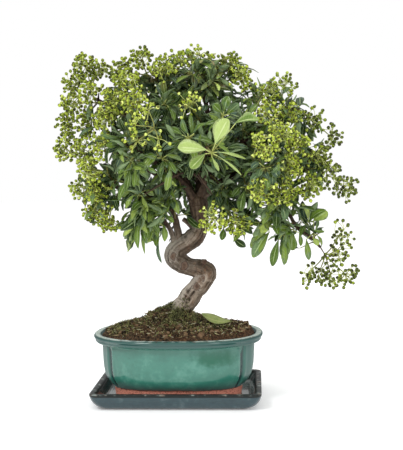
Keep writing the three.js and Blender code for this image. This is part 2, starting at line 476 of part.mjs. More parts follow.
// does an edge of triangle a go through triangle b? edges that meet b in a corner don't
const ray = new THREE.Ray(), hit = new THREE.Vector3();
function pierces(a, b) {
  return [0, 1, 2].some((k) => {
    const from = a[k], to = a[(k + 1) % 3];
    if (b.includes(from) || b.includes(to)) return false;
    ray.set(from, along(from, to));
    return ray.intersectTriangle(b[0], b[1], b[2], false, hit) && hit.distanceTo(from) < from.distanceTo(to);
  });
}

// bowed stem to a knot at the end: from a cut face, or out of a face of the last knot
function stem(skin, from, dir, to, r0, r1, seed, face) {
  const reach = from.distanceTo(to), n = reach > 34 ? 4 : reach > 15 ? 3 : 2;
  for (let go = 0; go < 70; go++) {
    const sway = reach * 2 * (0.05 + 0.012 * go);
    const bend = vec([draw(seed, go) - 0.5, draw(seed, go + 100) - 0.5, draw(seed, go + 200) - 0.5]).multiplyScalar(sway);
    const curve = new THREE.CubicBezierCurve3(from, place(from, dir, 0.38 * reach), mix(from, to, 0.68).add(bend), to);
    const points = Array.from({ length: n + 1 }, (_, i) => curve.getPoint(i / n));
    const rings = [];
    let e = null, way = dir;
    for (let i = 0; i < n; i++) {
      way = i ? along(points[i - 1], points[i + 1]) : dir;
      e = e ? flatten(e, way) : face ? flatten(face.corners[0], way) : across(way);
      const r = r0 + ((r1 - r0) * i) / n;
      rings.push(triad(way, e).map((q) => place(points[i], q, r)));
    }
    way = along(points[n - 1], to);
    e = flatten(e, way);
    const last = triad(way, e).map((q) => place(place(to, way, -0.4), q, 0.8));
    const whole = loft([...rings, last], null, null), outer = loft([...rings.slice(1), last], null, null);
    if (!skin.fits(whole, outer, SEAT)) continue;
    const made = skin.grow(() => {
      let ids = face ? face.ids : skin.ring(rings[0]);
      if (!face) skin.t.push(ids[0], ids[2], ids[1]);
      for (const ring of rings.slice(1)) {
        const next = skin.ring(ring);
        skin.band(ids, next);
        ids = next;
      }
      const knot = skin.knot(to, way, e);
      skin.band(ids, knot.entry);
      return { knot, way };
    }, whole, outer);
    if (made) return made;
  }
  throw new Error(`no clear way for a stem of ${skin.node} to ${to.toArray().map(Math.round)}`);
}
const facing = (knot, dir) => knot.faces.filter((f) => !f.used).sort((a, b) => b.n.dot(dir) - a.n.dot(dir))[0];

// a leaf or berry drawn out of a knot's face through rings of three to its tip
function drawnOut(skin, face, rings, tip, whole, outer) {
  face.used = true;
  const made = skin.grow(() => {
    let ids = face.ids;
    for (const r of rings) {
      const next = skin.ring(r);
      skin.band(ids, next);
      ids = next;
    }
    skin.close(ids, tip);
    return true;
  }, whole, outer);
  face.used = Boolean(made);
  return face.used;
}

// one berry on its stalk: a neck, two turned rings and the tip
function berry(skin, knot, face, reach, seed) {
  for (let go = 0; go < 6; go++) {
    const k = 10 * go;
    const tilt = vec([draw(seed, k) - 0.5, draw(seed, k + 1) - 0.5, draw(seed, k + 2) - 0.4]);
    const dir = place(face.n, tilt, 0.6).normalize();
    const length = Math.max(8.4, reach * (0.66 + 0.34 * draw(seed, k + 3)) * (1 - 0.07 * go));
    const e = face.corners.map((c) => flatten(c, dir));
    const ring = (by, r, part) => [0, 1, 2].map((m) => place(place(knot.centre, dir, by), e[(m + part) % 3], r));
    const rings = [ring(length - 2.2, STALK_R, 0), ring(length - 0.9, -BERRY_R, 2), ring(length + 0.9, BERRY_R * 0.96, 1)];
    const tip = place(knot.centre, dir, length + BERRY_R);
    const whole = loft([ring(HUB_R + 0.2, 0.8, 0), ...rings], null, tip);
    const outer = loft([ring(4.5, 0.7, 0), ...rings], null, tip);
    if (skin.fits(whole, outer) && drawnOut(skin, face, rings, tip, whole, outer)) return true;
  }
  return false;
}

const bunches = BUNCHES.map(([name, , , knots], i) => {
  const skin = new Skin(`berries_${name}`), { start, dir } = bunchStarts[i], middle = middleOf(knots), seed = 11 + i;
  if (knots.length === 1) return { skin, forks: [], ends: [stem(skin, start, dir, vec(knots[0]), STEM_R, 0.8, seed)] };
  const fork = place(start, dir, Math.max(4.5, 0.4 * start.distanceTo(middle)));
  const main = stem(skin, start, dir, fork, STEM_R, STEM_R, seed);
  const ends = knots.map((k, j) => {
    const to = vec(k), face = facing(main.knot, along(fork, to));
    face.used = true;
    return stem(skin, place(fork, face.n, 0.8), mix(face.n, along(fork, to), 0.6).normalize(), to, 0.9, 0.8, seed + 50 * (j + 1), face);
  });
  return { skin, forks: [main.knot], ends };
});

// ---- leafy shoots -------------------------------------------------------------------------
// along the blade: how far, half the width, thickness over the rib
const BLADE = { narrow: [[0.06, 0.24, 1], [0.62, 1, 1]], broad: [[0.04, 0.22, 1], [0.46, 0.92, 1], [0.84, 0.86, 0.9]] };

// rings of one leaf: two edges and the keel under the rib, arched from base to tip
function bladeRings(base, way, width, kind, face) {
  const u = way.clone().normalize(), w = flatten(face, u), v = u.clone().cross(w);
  const bow = kind === 3 ? 0.12 : 0.08;
  return (kind ? BLADE.broad : BLADE.narrow).map(([s, half, thick]) => {
    const h = Math.max(0.75, half * width / 2), t = thick * LEAF_T;
    const c = place(place(base, way, s), w, bow * 4 * s * (1 - s) * way.length());
    return [place(place(c, v, -h), w, t / 2), place(place(c, v, h), w, t / 2), place(c, w, -t / 2)];
  });
}
function faceOf(base, kind, seed, k) {
  if (kind === 3) return vec([-1, -0.35, 0.1]);
  if (kind) return vec([0.25 * (draw(seed, k) - 0.5), -1, 0.45]);
  const out = along(CROWN, base);
  return vec([out.x * 0.6 + 1.2 * (draw(seed, k) - 0.5), out.y * 0.6 - 0.25, 0.9]);
}
// the faces of a knot shared out so that every leaf leaves by one that looks its way
function shareOut(knot, leaves) {
  const ways = leaves.map(([x, y, z]) => along(knot.centre, vec([x, y, z])));
  let best = { score: -Infinity };
  const choose = (k, score, taken) => {
    if (k === leaves.length) { if (score > best.score) best = { score, taken }; return; }
    knot.faces.forEach((f) => {
      if (!taken.includes(f)) choose(k + 1, score - (1 - f.n.dot(ways[k])) ** 2, [...taken, f]);
    });
  };
  choose(0, 0, []);
  return best.taken;
}
function leaf(skin, knot, face, [bx, by, bz, dx, dy, dz, width, kind], seed, k) {
  for (let go = 0; go < 60; go++) {
    const base = vec([bx, by, bz]), way = vec([dx, dy, dz]), long = way.length();
    const shift = (n) => (draw(seed, 100 * k + 7 * go + n) - 0.5) * 2;
    way.add(vec([shift(0), shift(1), shift(2)]).multiplyScalar(0.03 * go * long));
    way.setLength(long * Math.max(0.7, 1 - 0.008 * go));
    base.add(vec([shift(3), shift(4), shift(5)]).multiplyScalar(0.15 * go));
    base.lerp(place(knot.centre, face.n, base.distanceTo(knot.centre)), Math.min(0.6, 0.02 * go));
    // the stalk leads on into the blade, never back over itself
    const u = way.clone().normalize(), lead = base.clone().sub(knot.centre);
    const short = Math.max(0.5 * lead.length(), 3) - lead.dot(u);
    if (short > 0) {
      base.addScaledVector(u, short);
      way.addScaledVector(u, -Math.min(short, 0.3 * long));
    }
    const rings = bladeRings(base, way, width, kind, faceOf(base, kind, seed, k));
    const dir = along(knot.centre, base), tip = place(base, way, 1);
    // the blade's corners in the order that twists the stalk least
    const cost = (part) => face.corners.reduce((a, c, m) => {
      const q = rings[0][(m + part) % 3];
      return a + flatten(c, dir).distanceTo(flatten(q.clone().sub(base), dir));
    }, 0);
    const part = [0, 1, 2].sort((a, b) => cost(a) - cost(b))[0];
    const turned = rings.map((r) => [0, 1, 2].map((m) => r[(m + part) % 3]));
    const root = face.corners.map((c) => place(place(knot.centre, face.n, 1.2), flatten(c, face.n), 0.6));
    const whole = loft([root, ...turned], null, tip), outer = loft(turned, null, tip);
    if (skin.fits(whole, outer) && drawnOut(skin, face, turned, tip, whole, outer)) return;
  }
  throw new Error(`no room for leaf ${k} of ${skin.node}`);
}

const shoots = SHOOTS.map(([name, , , end], i) => {
  const skin = new Skin(`leaves_${name}`), { start, dir } = shootStarts[i];
  return { skin, knot: stem(skin, start, dir, vec(end), STEM_R, 0.8, 301 + i).knot };
});
SHOOTS.forEach(([, , , , leaves], i) => {
  const { skin, knot } = shoots[i], faces = shareOut(knot, leaves);
  leaves.forEach((row, k) => leaf(skin, knot, faces[k], row, 401 + i, k));
});
bunches.forEach(({ skin, forks, ends }, i) => {
  ends.forEach(({ knot, way }, j) => {
    const seed = 601 + 5 * i + j, axis = place(way.clone(), along(CROWN, knot.centre), 0.4).normalize();
    const order = [...knot.faces].sort((a, b) => b.n.dot(axis) - a.n.dot(axis) + 0.5 * (draw(seed, 1) - 0.5));
    let grown = 0;
    order.forEach((face, f) => { if (grown < BERRIES && berry(skin, knot, face, REACH, 1000 + 10 * seed + f)) grown++; });
    if (grown < BERRIES - 1) throw new Error(`only ${grown} berries in a cluster of ${skin.node}`);
  });
  [...forks, ...ends.map((q) => q.knot)].forEach((k) => skin.shut(k));
  add(skin.node, skin, 0x8a9a3c, 0.5);
});
shoots.forEach(({ skin, knot }) => {
  skin.shut(knot);
  add(skin.node, skin, skin.node === 'leaves_young_front' ? 0xa9c46a : 0x4c6b35, 0.55);
});

// the fallen leaf comes down on the soil beside the trunk
let fallen = null;
for (let z = 100, gap = 9, go = 0; go < 40 && gap > GAP + 0.01; go++) {
  const base = vec([57, 5.5, z]), way = vec([-30, 2.5, 9]), face = vec([0.1, -0.62, 0.8]);
  fallen = loft(bladeRings(base, way, 11, 2, face), place(base, way, -0.05), place(base, way, 1));
  gap = solid(fallen).minGap(solid(soil), 30);
  z -= gap - GAP;
}
add('fallen_leaf', fallen, 0xa9b56a, 0.6);

export default group;
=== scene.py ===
"""Narrowleaf firethorn bonsai in a glazed pot on its saucer: the looks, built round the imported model.

Tables and lengths are in millimetres here and become metres when a piece is made.
X runs to the right, Y away from the viewer and Z up, from the middle of the saucer's underside.
"""
import math

import bpy
import numpy as np
from bpy.props import FloatProperty, FloatVectorProperty, IntProperty, PointerProperty
from mathutils import Matrix


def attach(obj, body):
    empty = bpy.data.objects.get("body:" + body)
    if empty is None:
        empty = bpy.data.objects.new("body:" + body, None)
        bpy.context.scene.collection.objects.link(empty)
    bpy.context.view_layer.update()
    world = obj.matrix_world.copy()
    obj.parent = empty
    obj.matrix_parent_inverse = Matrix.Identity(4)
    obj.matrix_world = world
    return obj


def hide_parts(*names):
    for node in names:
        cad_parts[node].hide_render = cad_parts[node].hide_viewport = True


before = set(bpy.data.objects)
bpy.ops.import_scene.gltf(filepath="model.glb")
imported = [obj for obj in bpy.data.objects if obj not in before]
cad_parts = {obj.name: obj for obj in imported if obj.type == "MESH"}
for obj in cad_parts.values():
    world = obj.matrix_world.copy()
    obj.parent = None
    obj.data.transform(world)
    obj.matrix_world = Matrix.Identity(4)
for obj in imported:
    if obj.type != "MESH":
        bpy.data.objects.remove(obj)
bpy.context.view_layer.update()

bl_info = {
    "name": "Firethorn bonsai",
    "version": (1, 0, 0),
    "blender": (4, 5, 0),
    "location": "3D View > Sidebar > Bonsai",
    "description": "A firethorn bonsai with green berries, in a glazed pot on its saucer",
    "category": "Object",
}

MM = 0.001
# points of the frame that are this near, in millimetres, are one
WELD = 0.002

# The object's dimensions follow the part's source; the trunk's lowest rows, its knob and the front
# spray follow the photograph more closely.
# saucer: half length, half width, corner radius, height; inside from the row after SAUCER_TOP_ROW
SAUCER = np.array([[40, 30, 6, 0], [78, 58, 9, 0], [81, 61, 9, 0.1], [84, 63.8, 10, 0.7], [88, 67, 11, 2.2],
    [91.4, 69, 11, 4.4], [94, 70.4, 11, 7], [96.1, 71.5, 10.5, 10.4], [97.4, 72.2, 10, 14],
    [97.9, 72.5, 9.6, 16.4], [97.9, 72.5, 9.2, 17.8], [97.3, 72, 9, 18.6], [96.2, 71, 8.6, 18.9],
    [94, 69, 7.6, 18.9], [92.6, 67.7, 6.8, 18.7], [91.6, 66.7, 6.2, 18], [90.4, 65.5, 6, 16],
    [88.2, 63.6, 6, 12.4], [86.2, 61.7, 6, 9], [85, 60.5, 6, 7.2], [83.8, 59.3, 6, 6.4], [81.5, 57, 6, 6],
    [60, 40, 6, 6]])
SAUCER_TOP_ROW = 12
# pot: half length, half width, height, how square the outline is, depth of the seam grooves; the
# wall is the outer one as far as POT_TOP_ROW
POT = np.array([[30, 20, 9, 2.2, 0], [60, 38, 9, 2.7, 0], [65, 43, 9, 2.8, 0], [66.6, 44.6, 8.4, 2.8, 0],
    [67.5, 45.5, 6.6, 2.8, 0], [68.6, 46.6, 6.3, 2.8, 0], [73, 51, 6.3, 3, 0.3], [74.2, 52.2, 7, 3, 0.3],
    [75, 53, 12, 3, 0.4], [75.5, 53.5, 17.6, 3, 0.5], [76.2, 54.2, 18.8, 2.95, 0.8],
    [78, 56, 20.3, 2.9, 1.3], [79.6, 57.6, 21.7, 2.8, 1.6], [82.6, 60.6, 25.4, 2.7, 2.0],
    [86, 64, 31, 2.6, 2.3], [88, 66, 38, 2.54, 2.4], [89, 67, 46, 2.5, 2.4], [89.6, 67.6, 56, 2.47, 2.4],
    [90, 68, 65, 2.45, 2.3], [90.1, 68.1, 68, 2.42, 1.4], [90.9, 68.9, 69.3, 2.4, 0.7],
    [93.4, 71.4, 69.9, 2.4, 0.3], [96.2, 74.2, 70.4, 2.4, 0.2], [97.7, 75.8, 71.3, 2.4, 0.1],
    [98.3, 76.4, 72.6, 2.4, 0], [98.4, 76.5, 73.9, 2.4, 0], [99, 77.3, 75, 2.4, 0],
    [99.8, 78.2, 76.2, 2.4, 0], [99.8, 78.3, 77.5, 2.4, 0], [99, 77.5, 78.7, 2.4, 0],
    [97.6, 76.1, 79.5, 2.4, 0], [95.8, 74.3, 79.8, 2.4, 0], [93.6, 72.1, 79.6, 2.4, 0],
    [92, 70.5, 78.8, 2.4, 0], [91, 69.5, 77.4, 2.4, 0], [90.4, 68.9, 75, 2.4, 0], [84.5, 62.5, 45, 2.5, 0],
    [77, 55, 23, 2.7, 0], [69, 47, 14, 2.8, 0], [30, 20, 13.5, 2.2, 0]])
POT_TOP_ROW = 31
POT_SIDES = 288
# degrees of the outline's own angle at which the seams lie
SEAM_AT = 35
# the wall of the drain hole, from the inside down
POT_HOLE = [[6, 6, 13.5, 2, 0], [6, 6, 9, 2, 0]]
# rings that are made for each row of the saucer and the pot
FINER = 3

# soil: the rings under its surface (half length, half width, height, how square), the last one at
# the wall, then the ridge of its mound (x, z)
SOIL_SIDE = np.array([[60, 40, 14.4, 2.8], [68.2, 46.2, 14.6, 2.8], [76.4, 54.4, 23.3, 2.7],
    [84, 62, 45, 2.5], [89.8, 68.3, 74.6, 2.4]])
SOIL_RIM = [90.1, 68.6, 77, 2.4]
SOIL_RIDGE = np.array([[-92, 78], [-82, 86], [-70, 87.4], [-58, 89.6], [-46, 94.8], [-35, 102], [-16, 107.4],
                       [0, 107.8], [14, 105.4], [25, 95.4], [36, 89.4], [60, 88], [80, 87], [92, 78]])
# height at the wall and how much higher inside; the mound starts at MOUND_BASE and thins out with depth
SOIL_LEVEL, SOIL_RISE, MOUND_BASE, MOUND_DEPTH = 77.4, 9.8, 87, 27
# half length and half width of the soil at the wall and of the ground that crumbs lie on, and how
# square both ovals are
SOIL_WALL, SOIL_GROUND, SOIL_SQUARE = (90.3, 68.8), (86, 64.5), 2.4
# waves of the soil: middle x, y, width, depth and height; a hollow under the leaf, one at the
# mound's left foot and a low lump at the right end
SOIL_WAVES = ((46, -5, 15, 11, -6.5), (-41, 0, 9, 26, -4.5), (79, -2, 9, 20, 4.5))
# where moss grows, in the same way, the last number being how much
MOSSY = ((-4, -6, 34, 30, 1), (-70, -8, 22, 40, 0.55), (46, -20, 26, 22, 0.35))
# how many crumbs, dry bits, and stalks of moss on the soil, on the trunk's foot and on each root
CRUMBS, DRY_BITS, SOIL_TUFTS, FOOT_TUFTS, ROOT_TUFTS = 1700, 1000, 4200, 1100, 420

# trunk: x, y, z, radius
TRUNK = np.array([[-0.6, 0, 66.3, 13.8], [-0.6, 0, 88, 14.6], [-0.2, 0, 97, 14.4], [2.4, 0, 105.2, 12.8],
    [9.4, 0, 112.6, 11.9], [16, -0.5, 122.8, 12.1], [23.4, -1.5, 131.8, 11.5], [29.9, -2.5, 140.4, 11.9],
    [32.6, -3, 149, 12.3], [25.4, -2, 153.6, 11.2], [15, 0, 155.8, 10.8], [4.6, 2, 160, 11.6],
    [-2.6, 3, 167.4, 12.8], [0, 2.5, 176.6, 12.4], [8.4, 1, 182.9, 11.8], [16.8, -0.5, 188.2, 11.2],
    [23.8, -1.5, 195.8, 10.4], [27, -1.5, 205.6, 9.8], [27.4, -1, 216, 9.8], [26, 0, 227, 10.6],
    [24.5, 0, 237, 10.4], [24, 0, 244, 7.5]])
TRUNK_RINGS, LIMB_RINGS = 230, 56
# what lies on the soil is this far from the trunk's middle; the foot is its lowest rings
TRUNK_CLEAR, FOOT_RINGS = 14.5, 60
KNOB = np.array([[29, -3, 149, 6.5], [31.5, -5, 158.2, 5.4], [32.4, -5, 165.2, 4.4]])
KNOB_SCAR = (34, -6, 162, 6.5)
# where a branch was cut off: place on the bark, radius of the scar
SCARS = np.array([[-4.6, -9, 168.7, 3.2], [8.5, -9.5, 158.6, 4.2], [31.5, -14, 144.6, 2.6],
    [23, -12, 134.5, 3.6], [20, 9, 140, 3.6], [2, 13, 172, 3.6], [26, 8, 214, 3.2], [36.5, -5, 163, 2.4],
    [41, -4, 159, 2.4], [44, -3, 153.5, 2.2]])
# roots that run from the trunk's foot into the mound: x, y, z, radius
ROOTS = [[[5, -1, 107, 9], [-6, -2, 105.5, 7.2], [-16, -3, 101.5, 5], [-26, -4, 98, 4], [-38, -5, 92, 3]],
         [[5, -3, 104, 8], [0, -13, 100, 6], [-5, -22, 94, 4.2], [-9, -30, 87, 3]],
         [[8, -3, 101, 6.5], [14, -10, 96.5, 4.6], [21, -18, 91, 3.4], [29, -26, 84, 2.6]],
         [[8, 2, 100, 6], [16, 4, 95.5, 4], [24, 7, 90, 3]],
         [[4, 3, 106, 8], [0, 14, 101, 6], [-6, 25, 93, 4]]]

# bare brown twigs that show between the leaves: x, y, z, radius
BARE_TWIGS = [
    [[33, -17, 254, 1.6], [24, -50, 266, 1.5], [11, -74, 267.5, 1.35], [-5, -80, 259, 1.2],
     [-20, -80, 250.5, 1.0], [-31, -74, 244, 0.6]],
    [[3, -10, 273, 2.2], [-15, -46, 266, 2.2], [-32, -72, 274.5, 2.0], [-47, -76, 285, 1.7],
     [-61, -74, 292, 1.4], [-74, -64, 300, 0.8]],
    [[37, -33, 267, 1.3], [29, -66, 269, 1.2], [34, -76, 260, 1.1], [41, -76, 250, 0.9], [45, -72, 243, 0.5]],
]
# painted light and shade: bark is paler on the side that faces this way, up and to the left towards the main
# lamp, and darker on the far side
LIGHT_WAY = np.array([-0.8, -0.35, 0.45])

# limbs: radius at the fork and at the end, and the route out from the trunk
LIMBS = {
    "left_up": (5.4, 1.7, [[22, 0, 229], [15, -4, 247], [3, -10, 273], [-17, -18, 302], [-44, -26, 326],
        [-71, -28, 343], [-93, -22, 355]]),
    "left_low": (5.2, 1.7, [[3, 0, 182], [0, -3, 202], [-4, -8, 219], [-21, -16, 236], [-46, -22, 248],
        [-73, -24, 253], [-90, -22, 253]]),
    "left_twig": (3.4, 1.6, [[-2, 0, 182], [-9, -4, 202], [-19, -10, 216], [-33, -16, 227]]),
    "stub": (3.6, 2.6, [[21, 0, 201], [14, -1, 208], [7, -2, 213]]),
    "top_left": (4.8, 1.6, [[18, 0, 238], [8, 8, 268], [1, 14, 300], [-6, 14, 336], [-15, 6, 367],
        [-24, 0, 384]]),
    "top": (5.4, 1.6, [[28, 0, 232], [39, 4, 268], [41, 6, 300], [37, 4, 338], [32, 0, 371],
        [31, -6, 387]]),
    "right_up": (5.0, 1.6, [[28, 0, 234], [48, -8, 268], [70, -18, 293], [96, -22, 318], [124, -20, 335],
        [142, -15, 340]]),
    "right": (5.2, 1.6, [[27, 0, 240], [66, -12, 263], [96, -22, 270], [128, -26, 274], [158, -22, 280],
        [177, -15, 282]]),
    "right_low": (3.0, 1.5, [[94, -21, 269], [112, -28, 249], [128, -31, 226], [139, -28, 205],
        [157, -26, 191], [167, -24, 180]]),
    "back": (5.0, 1.6, [[25, 0, 229], [26, 18, 258], [28, 45, 282], [32, 72, 307], [34, 90, 326]]),
    "back_left": (3.4, 1.6, [[26, 16, 256], [1, 44, 282], [-31, 66, 301], [-61, 78, 314]]),
    "back_right": (3.6, 1.6, [[26, 16, 256], [56, 46, 276], [93, 68, 291], [121, 80, 300]]),
    "front": (4.8, 1.6, [[27, 0, 236], [36, -24, 261], [38, -50, 278], [39, -70, 290], [40, -84, 296]]),
    "front_left": (4.4, 1.6, [[23, 0, 234], [8, -26, 257], [-15, -52, 276], [-37, -72, 292],
        [-51, -82, 302]]),
}

# berry bunches: the limb that bears each, the place on it from 0 to 1, and its clusters' knots
BUNCHES = {
    "left_crest": ("left_up", 1.0, [[-104, -6, 393], [-115, -14, 372], [-90, 6, 387]]),
    "left_brow": ("left_up", 0.86, [[-92, -44, 358], [-115, -30, 348]]),
    "left_cheek": ("left_up", 0.72, [[-64, -60, 350], [-73, -64, 328]]),
    "left_tip": ("left_up", 0.95, [[-124, -10, 326], [-98, -34, 325]]),
    "left_out": ("left_low", 1.0, [[-126, -28, 298], [-101, -50, 295]]),
    "left_mid": ("left_low", 0.8, [[-74, -76, 298], [-91, -58, 274]]),
    "left_skirt": ("left_low", 0.97, [[-108, -14, 251], [-84, -44, 249]]),
    "left_hem": ("left_low", 0.75, [[-93, -22, 226], [-76, -32, 215]]),
    "brow_front": ("left_up", 0.5, [[-48, -66, 369], [-39, -84, 345]]),
    "crest_left": ("top_left", 0.85, [[-37, -18, 397], [-56, -34, 383]]),
    "crest_mid": ("top_left", 1.0, [[-11, -42, 384], [2, -18, 393]]),
    "front_spray": ("front_left", 0.9, [[-36, -104, 320], [-21, -106, 336], [-34, -102, 303],
        [-11, -105, 305]]),
    "top_tip": ("top", 1.0, [[30, -12, 403]]),
    "top_right": ("top", 0.75, [[76, -22, 373], [62, 4, 392]]),
    "heart": ("top", 0.45, [[21, -66, 342]]),
    "right_sprig": ("right_up", 0.85, [[127, -6, 366], [110, -30, 358]]),
    "right_crown": ("right_up", 0.7, [[107, -66, 330], [130, -44, 332]]),
    "right_far": ("right_up", 1.0, [[157, -22, 327], [180, -6, 308]]),
    "right_face": ("right", 0.4, [[100, -92, 296], [122, -74, 307]]),
    "right_mid": ("right", 0.6, [[138, -58, 296], [129, -72, 272]]),
    "right_wide": ("right", 0.94, [[163, -44, 285], [174, -32, 262], [194, -12, 249]]),
    "right_under": ("right", 0.75, [[152, -56, 252]]),
    "right_breast": ("right", 0.38, [[100, -92, 248], [124, -76, 246]]),
    "hang_sprig": ("right_low", 1.0, [[166, -26, 153], [185, -34, 177], [196, -16, 148], [188, -28, 194],
        [152, -26, 150], [178, -32, 150]]),
    "low_centre": ("right", 0.1, [[44, -60, 217], [71, -52, 212]]),
    "back_left": ("back_left", 1.0, [[-80, 86, 344], [-47, 70, 372], [-68, 84, 273]]),
    "back_mid": ("back", 1.0, [[24, 100, 368], [43, 112, 328]]),
    "back_right": ("back_right", 1.0, [[134, 84, 336], [104, 72, 355], [124, 84, 261]]),
}
# how far from its knot each cluster spreads: the usual, and these bunches' own
USUAL_SPREAD = 17.4
BERRY_SPREAD = {"hang_sprig": 18, "right_sprig": 20, "front_spray": 15, "heart": 20, "right_wide": 19,
                "low_centre": 19}
# the share of the usual number of berries in these bunches
BERRY_SHARE = {"front_spray": 0.16, "heart": 0.35, "right_sprig": 0.5, "hang_sprig": 0.5, "low_centre": 0.9,
               "top_tip": 0.3, "crest_mid": 0.8, "right_far": 0.6, "right_crown": 0.75, "right_wide": 0.85}
# how light the berries are, from 0 to 1: the usual, and these bunches' own
USUAL_LIGHT = 0.87
BERRY_LIGHT = {"low_centre": 0.76, "right_face": 0.78, "right_breast": 0.76, "crest_left": 0.72,
    "crest_mid": 0.74, "brow_front": 0.78, "left_crest": 0.82, "right_wide": 0.8, "right_far": 0.78}
# where this bunch forks, if not on the way to its knots, and one with thin stems and few leaves
FORKS = {"front_spray": (-17, -100, 315)}
THIN_BUNCH = "hang_sprig"
# radius of a berry in the frame, and how near the middles of two berries may come
BERRY_R, BERRY_GAP = 2.3, 3.95
# outline of a berry from stalk to crown: along the axis and out from it, for a radius of one, and
# how far along the finish takes it to be
BERRY_ROWS = np.array([[-0.8, 0.58, 0.1], [-0.2, 0.98, 0.38], [0.5, 0.85, 0.68], [0.91, 0.42, 0.9],
                       [0.98, 0.22, 1.0]])
BERRY_SIDES = 7

# leafy shoots: the limb that bears each, the place on it, the shoot's end, and how light its
# leaves are from 0, dark, to 1, yellow-green
SHOOTS = {"young_front": ("front", 1.0, [46, -106, 289], 0.95),
    "low_left": ("left_twig", 1.0, [-39, -30, 220], 0.55), "low_mid": ("left_twig", 0.62, [-22, -22, 211],
    0.55), "low_right_a": ("right_low", 0.3, [107, -40, 206], 0.6),
    "low_right_b": ("right_low", 0.55, [128, -38, 204], 0.42),
    "low_right_c": ("right_low", 0.85, [159, -36, 198], 0.6), "crown_top": ("top", 0.75, [22, -9, 389],
    0.5), "crown_right": ("top", 0.65, [66, 8, 390], 0.45),
    "right_grey": ("right_up", 0.45, [101, -16, 355], 0.4), "brow_leaf": ("left_up", 0.62, [-63, 2, 372],
    0.3), "dark_right": ("right", 0.12, [55, -36, 245], 0.12), "dark_mid": ("right", 0.28, [82, -50, 250],
    0.12), "deep_right": ("right", 0.45, [104, -86, 272], 0.2), "heart_a": ("top", 0.35, [57, -74, 330],
    0.35), "heart_b": ("top_left", 0.45, [-9, -52, 345], 0.22), "heart_c": ("front", 0.6, [20, -86, 306],
    0.22), "mid_left": ("front_left", 0.4, [-9, -82, 284], 0.4),
    "left_inner": ("front_left", 0.75, [-44, -90, 283], 0.4),
    "left_fall": ("left_low", 0.5, [-41, -46, 244], 0.56), "side_trunk": ("left_low", 0.25, [-2, -40, 241],
    0.42), "right_lobe": ("right_low", 0.15, [120, -52, 234], 0.35),
    "far_right": ("right", 0.8, [157, 6, 280], 0.3), "back_a": ("back", 0.75, [-4, 92, 343], 0.3),
    "back_b": ("back", 0.55, [71, 92, 299], 0.3), "back_c": ("back_right", 0.5, [98, 80, 251], 0.35),
    "back_d": ("back_left", 0.45, [-52, 74, 238], 0.35), "low_centre": ("right", 0.12, [66, -30, 210], 0.3),
    }
# limbs whose inner leaves are one piece, and the share of the usual inner twigs on some of them
INNER_GROUPS = {"left": ["left_up", "left_low", "front_left"], "middle": ["top", "top_left", "front"],
                "right": ["right_up", "right", "right_low"], "back": ["back", "back_left", "back_right"]}
INNER_SHARE = {"right_low": 0.2, "left_low": 1.3, "top_left": 1.5, "top": 1.3, "front": 0.8}
# the shoot of young leaves, those with long hanging leaves, and another number of side twigs than
# usual for some
YOUNG_SHOOT = "young_front"
LONG_LEAVES = ("low_left", "low_mid", "left_fall")
FEW_TWIGS = {"low_mid": 1, "far_right": 2, "low_right_a": 3, "low_right_b": 3, "low_right_c": 2,
    "low_left": 5}
# twigs that close gaps in the crown: limb, place on it, way, length and how light its leaves are
GAP_TWIGS = [("top_left", 0.68, (1, -0.1, 0.5), 26, 0.3), ("top_left", 0.82, (1, 0.1, 0.1), 24, 0.3),
             ("top", 0.72, (-1, 0, 0.4), 25, 0.3), ("top", 0.58, (-0.9, 0.3, 0.5), 28, 0.2),
             ("top", 0.82, (-1, 0.3, 0), 20, 0.4), ("left_low", 0.3, (1, 0.2, 0.3), 16, 0.3),
             ("left_low", 0.42, (0.8, 0.5, 0.5), 20, 0.3), ("top_left", 0.3, (-0.6, 0.2, -0.7), 22, 0.2),
             ("left_up", 0.45, (0.2, 0.4, 1), 30, 0.3), ("left_up", 0.6, (0.1, 0.4, 1), 30, 0.3),
             ("right_up", 0.3, (-0.2, 0.4, 1), 32, 0.3), ("right_up", 0.5, (-0.3, 0.4, 1), 30, 0.3),
             ("back", 0.6, (-0.6, -0.6, 0.6), 32, 0.2), ("back", 0.7, (0.5, -0.7, 0.6), 32, 0.2),
             ("back", 0.15, (-0.8, 0.7, -0.1), 26, 0.12), ("back", 0.15, (0.9, 0.7, -0.3), 26, 0.12),
             ("back", 0.25, (0.1, 0.5, -0.8), 28, 0.12), ("left_low", 0.36, (0.7, 0.9, 0.2), 24, 0.15),
             ("top", 0.8, (0.5, -1, 0.2), 26, 0.85), ("top", 0.7, (0.1, -1, 0.7), 30, 0.6),
             ("top_left", 0.75, (0.3, -1, 0.5), 28, 0.5), ("right_low", 0.45, (0.4, -0.3, 0.4), 10, 0.35),
             ("right_low", 0.62, (0.3, -0.4, 0.6), 12, 0.4), ("right_low", 0.78, (0.4, -0.4, 0.5), 11, 0.4),
             ("right_low", 0.5, (-1, -0.3, 0.3), 18, 0.35), ("right_low", 0.66, (-1, -0.2, 0.1), 24, 0.3),
             ("top", 0.7, (1, 0.2, 0.1), 40, 0.3), ("top", 0.6, (1, -0.3, 0.1), 38, 0.35),
             ("top", 0.5, (1, 0.1, 0.2), 42, 0.25), ("right_up", 0.32, (0, 0.3, 1), 36, 0.3),
             ("right_up", 0.42, (-0.2, -0.1, 1), 34, 0.35), ("top", 0.86, (-0.6, -1, 0.3), 24, 0.75),
             ("top_left", 0.86, (0.7, -1, 0.2), 26, 0.6), ("top", 0.9, (0.9, -0.8, 0.1), 26, 0.7)]
# the young leaves from left to right by their ends: how much wider than in the frame, how light, how
# far the end is moved along X
YOUNG = np.array([[1.25, 0.8, 0], [1.35, 0.25, 0], [0.9, 0.6, 0], [1.5, 0.9, -9], [0.8, 0.7, 0],
    [0.85, 0.5, 0], [1.5, 0.0, 0]])
# the dropped leaf, a little nearer than the solid, so that its lower edge shows before the mound
DROPPED_BASE, DROPPED_TIP = np.array([[63, -3.2, 91.4]]), np.array([[27, -4.6, 97.6]])
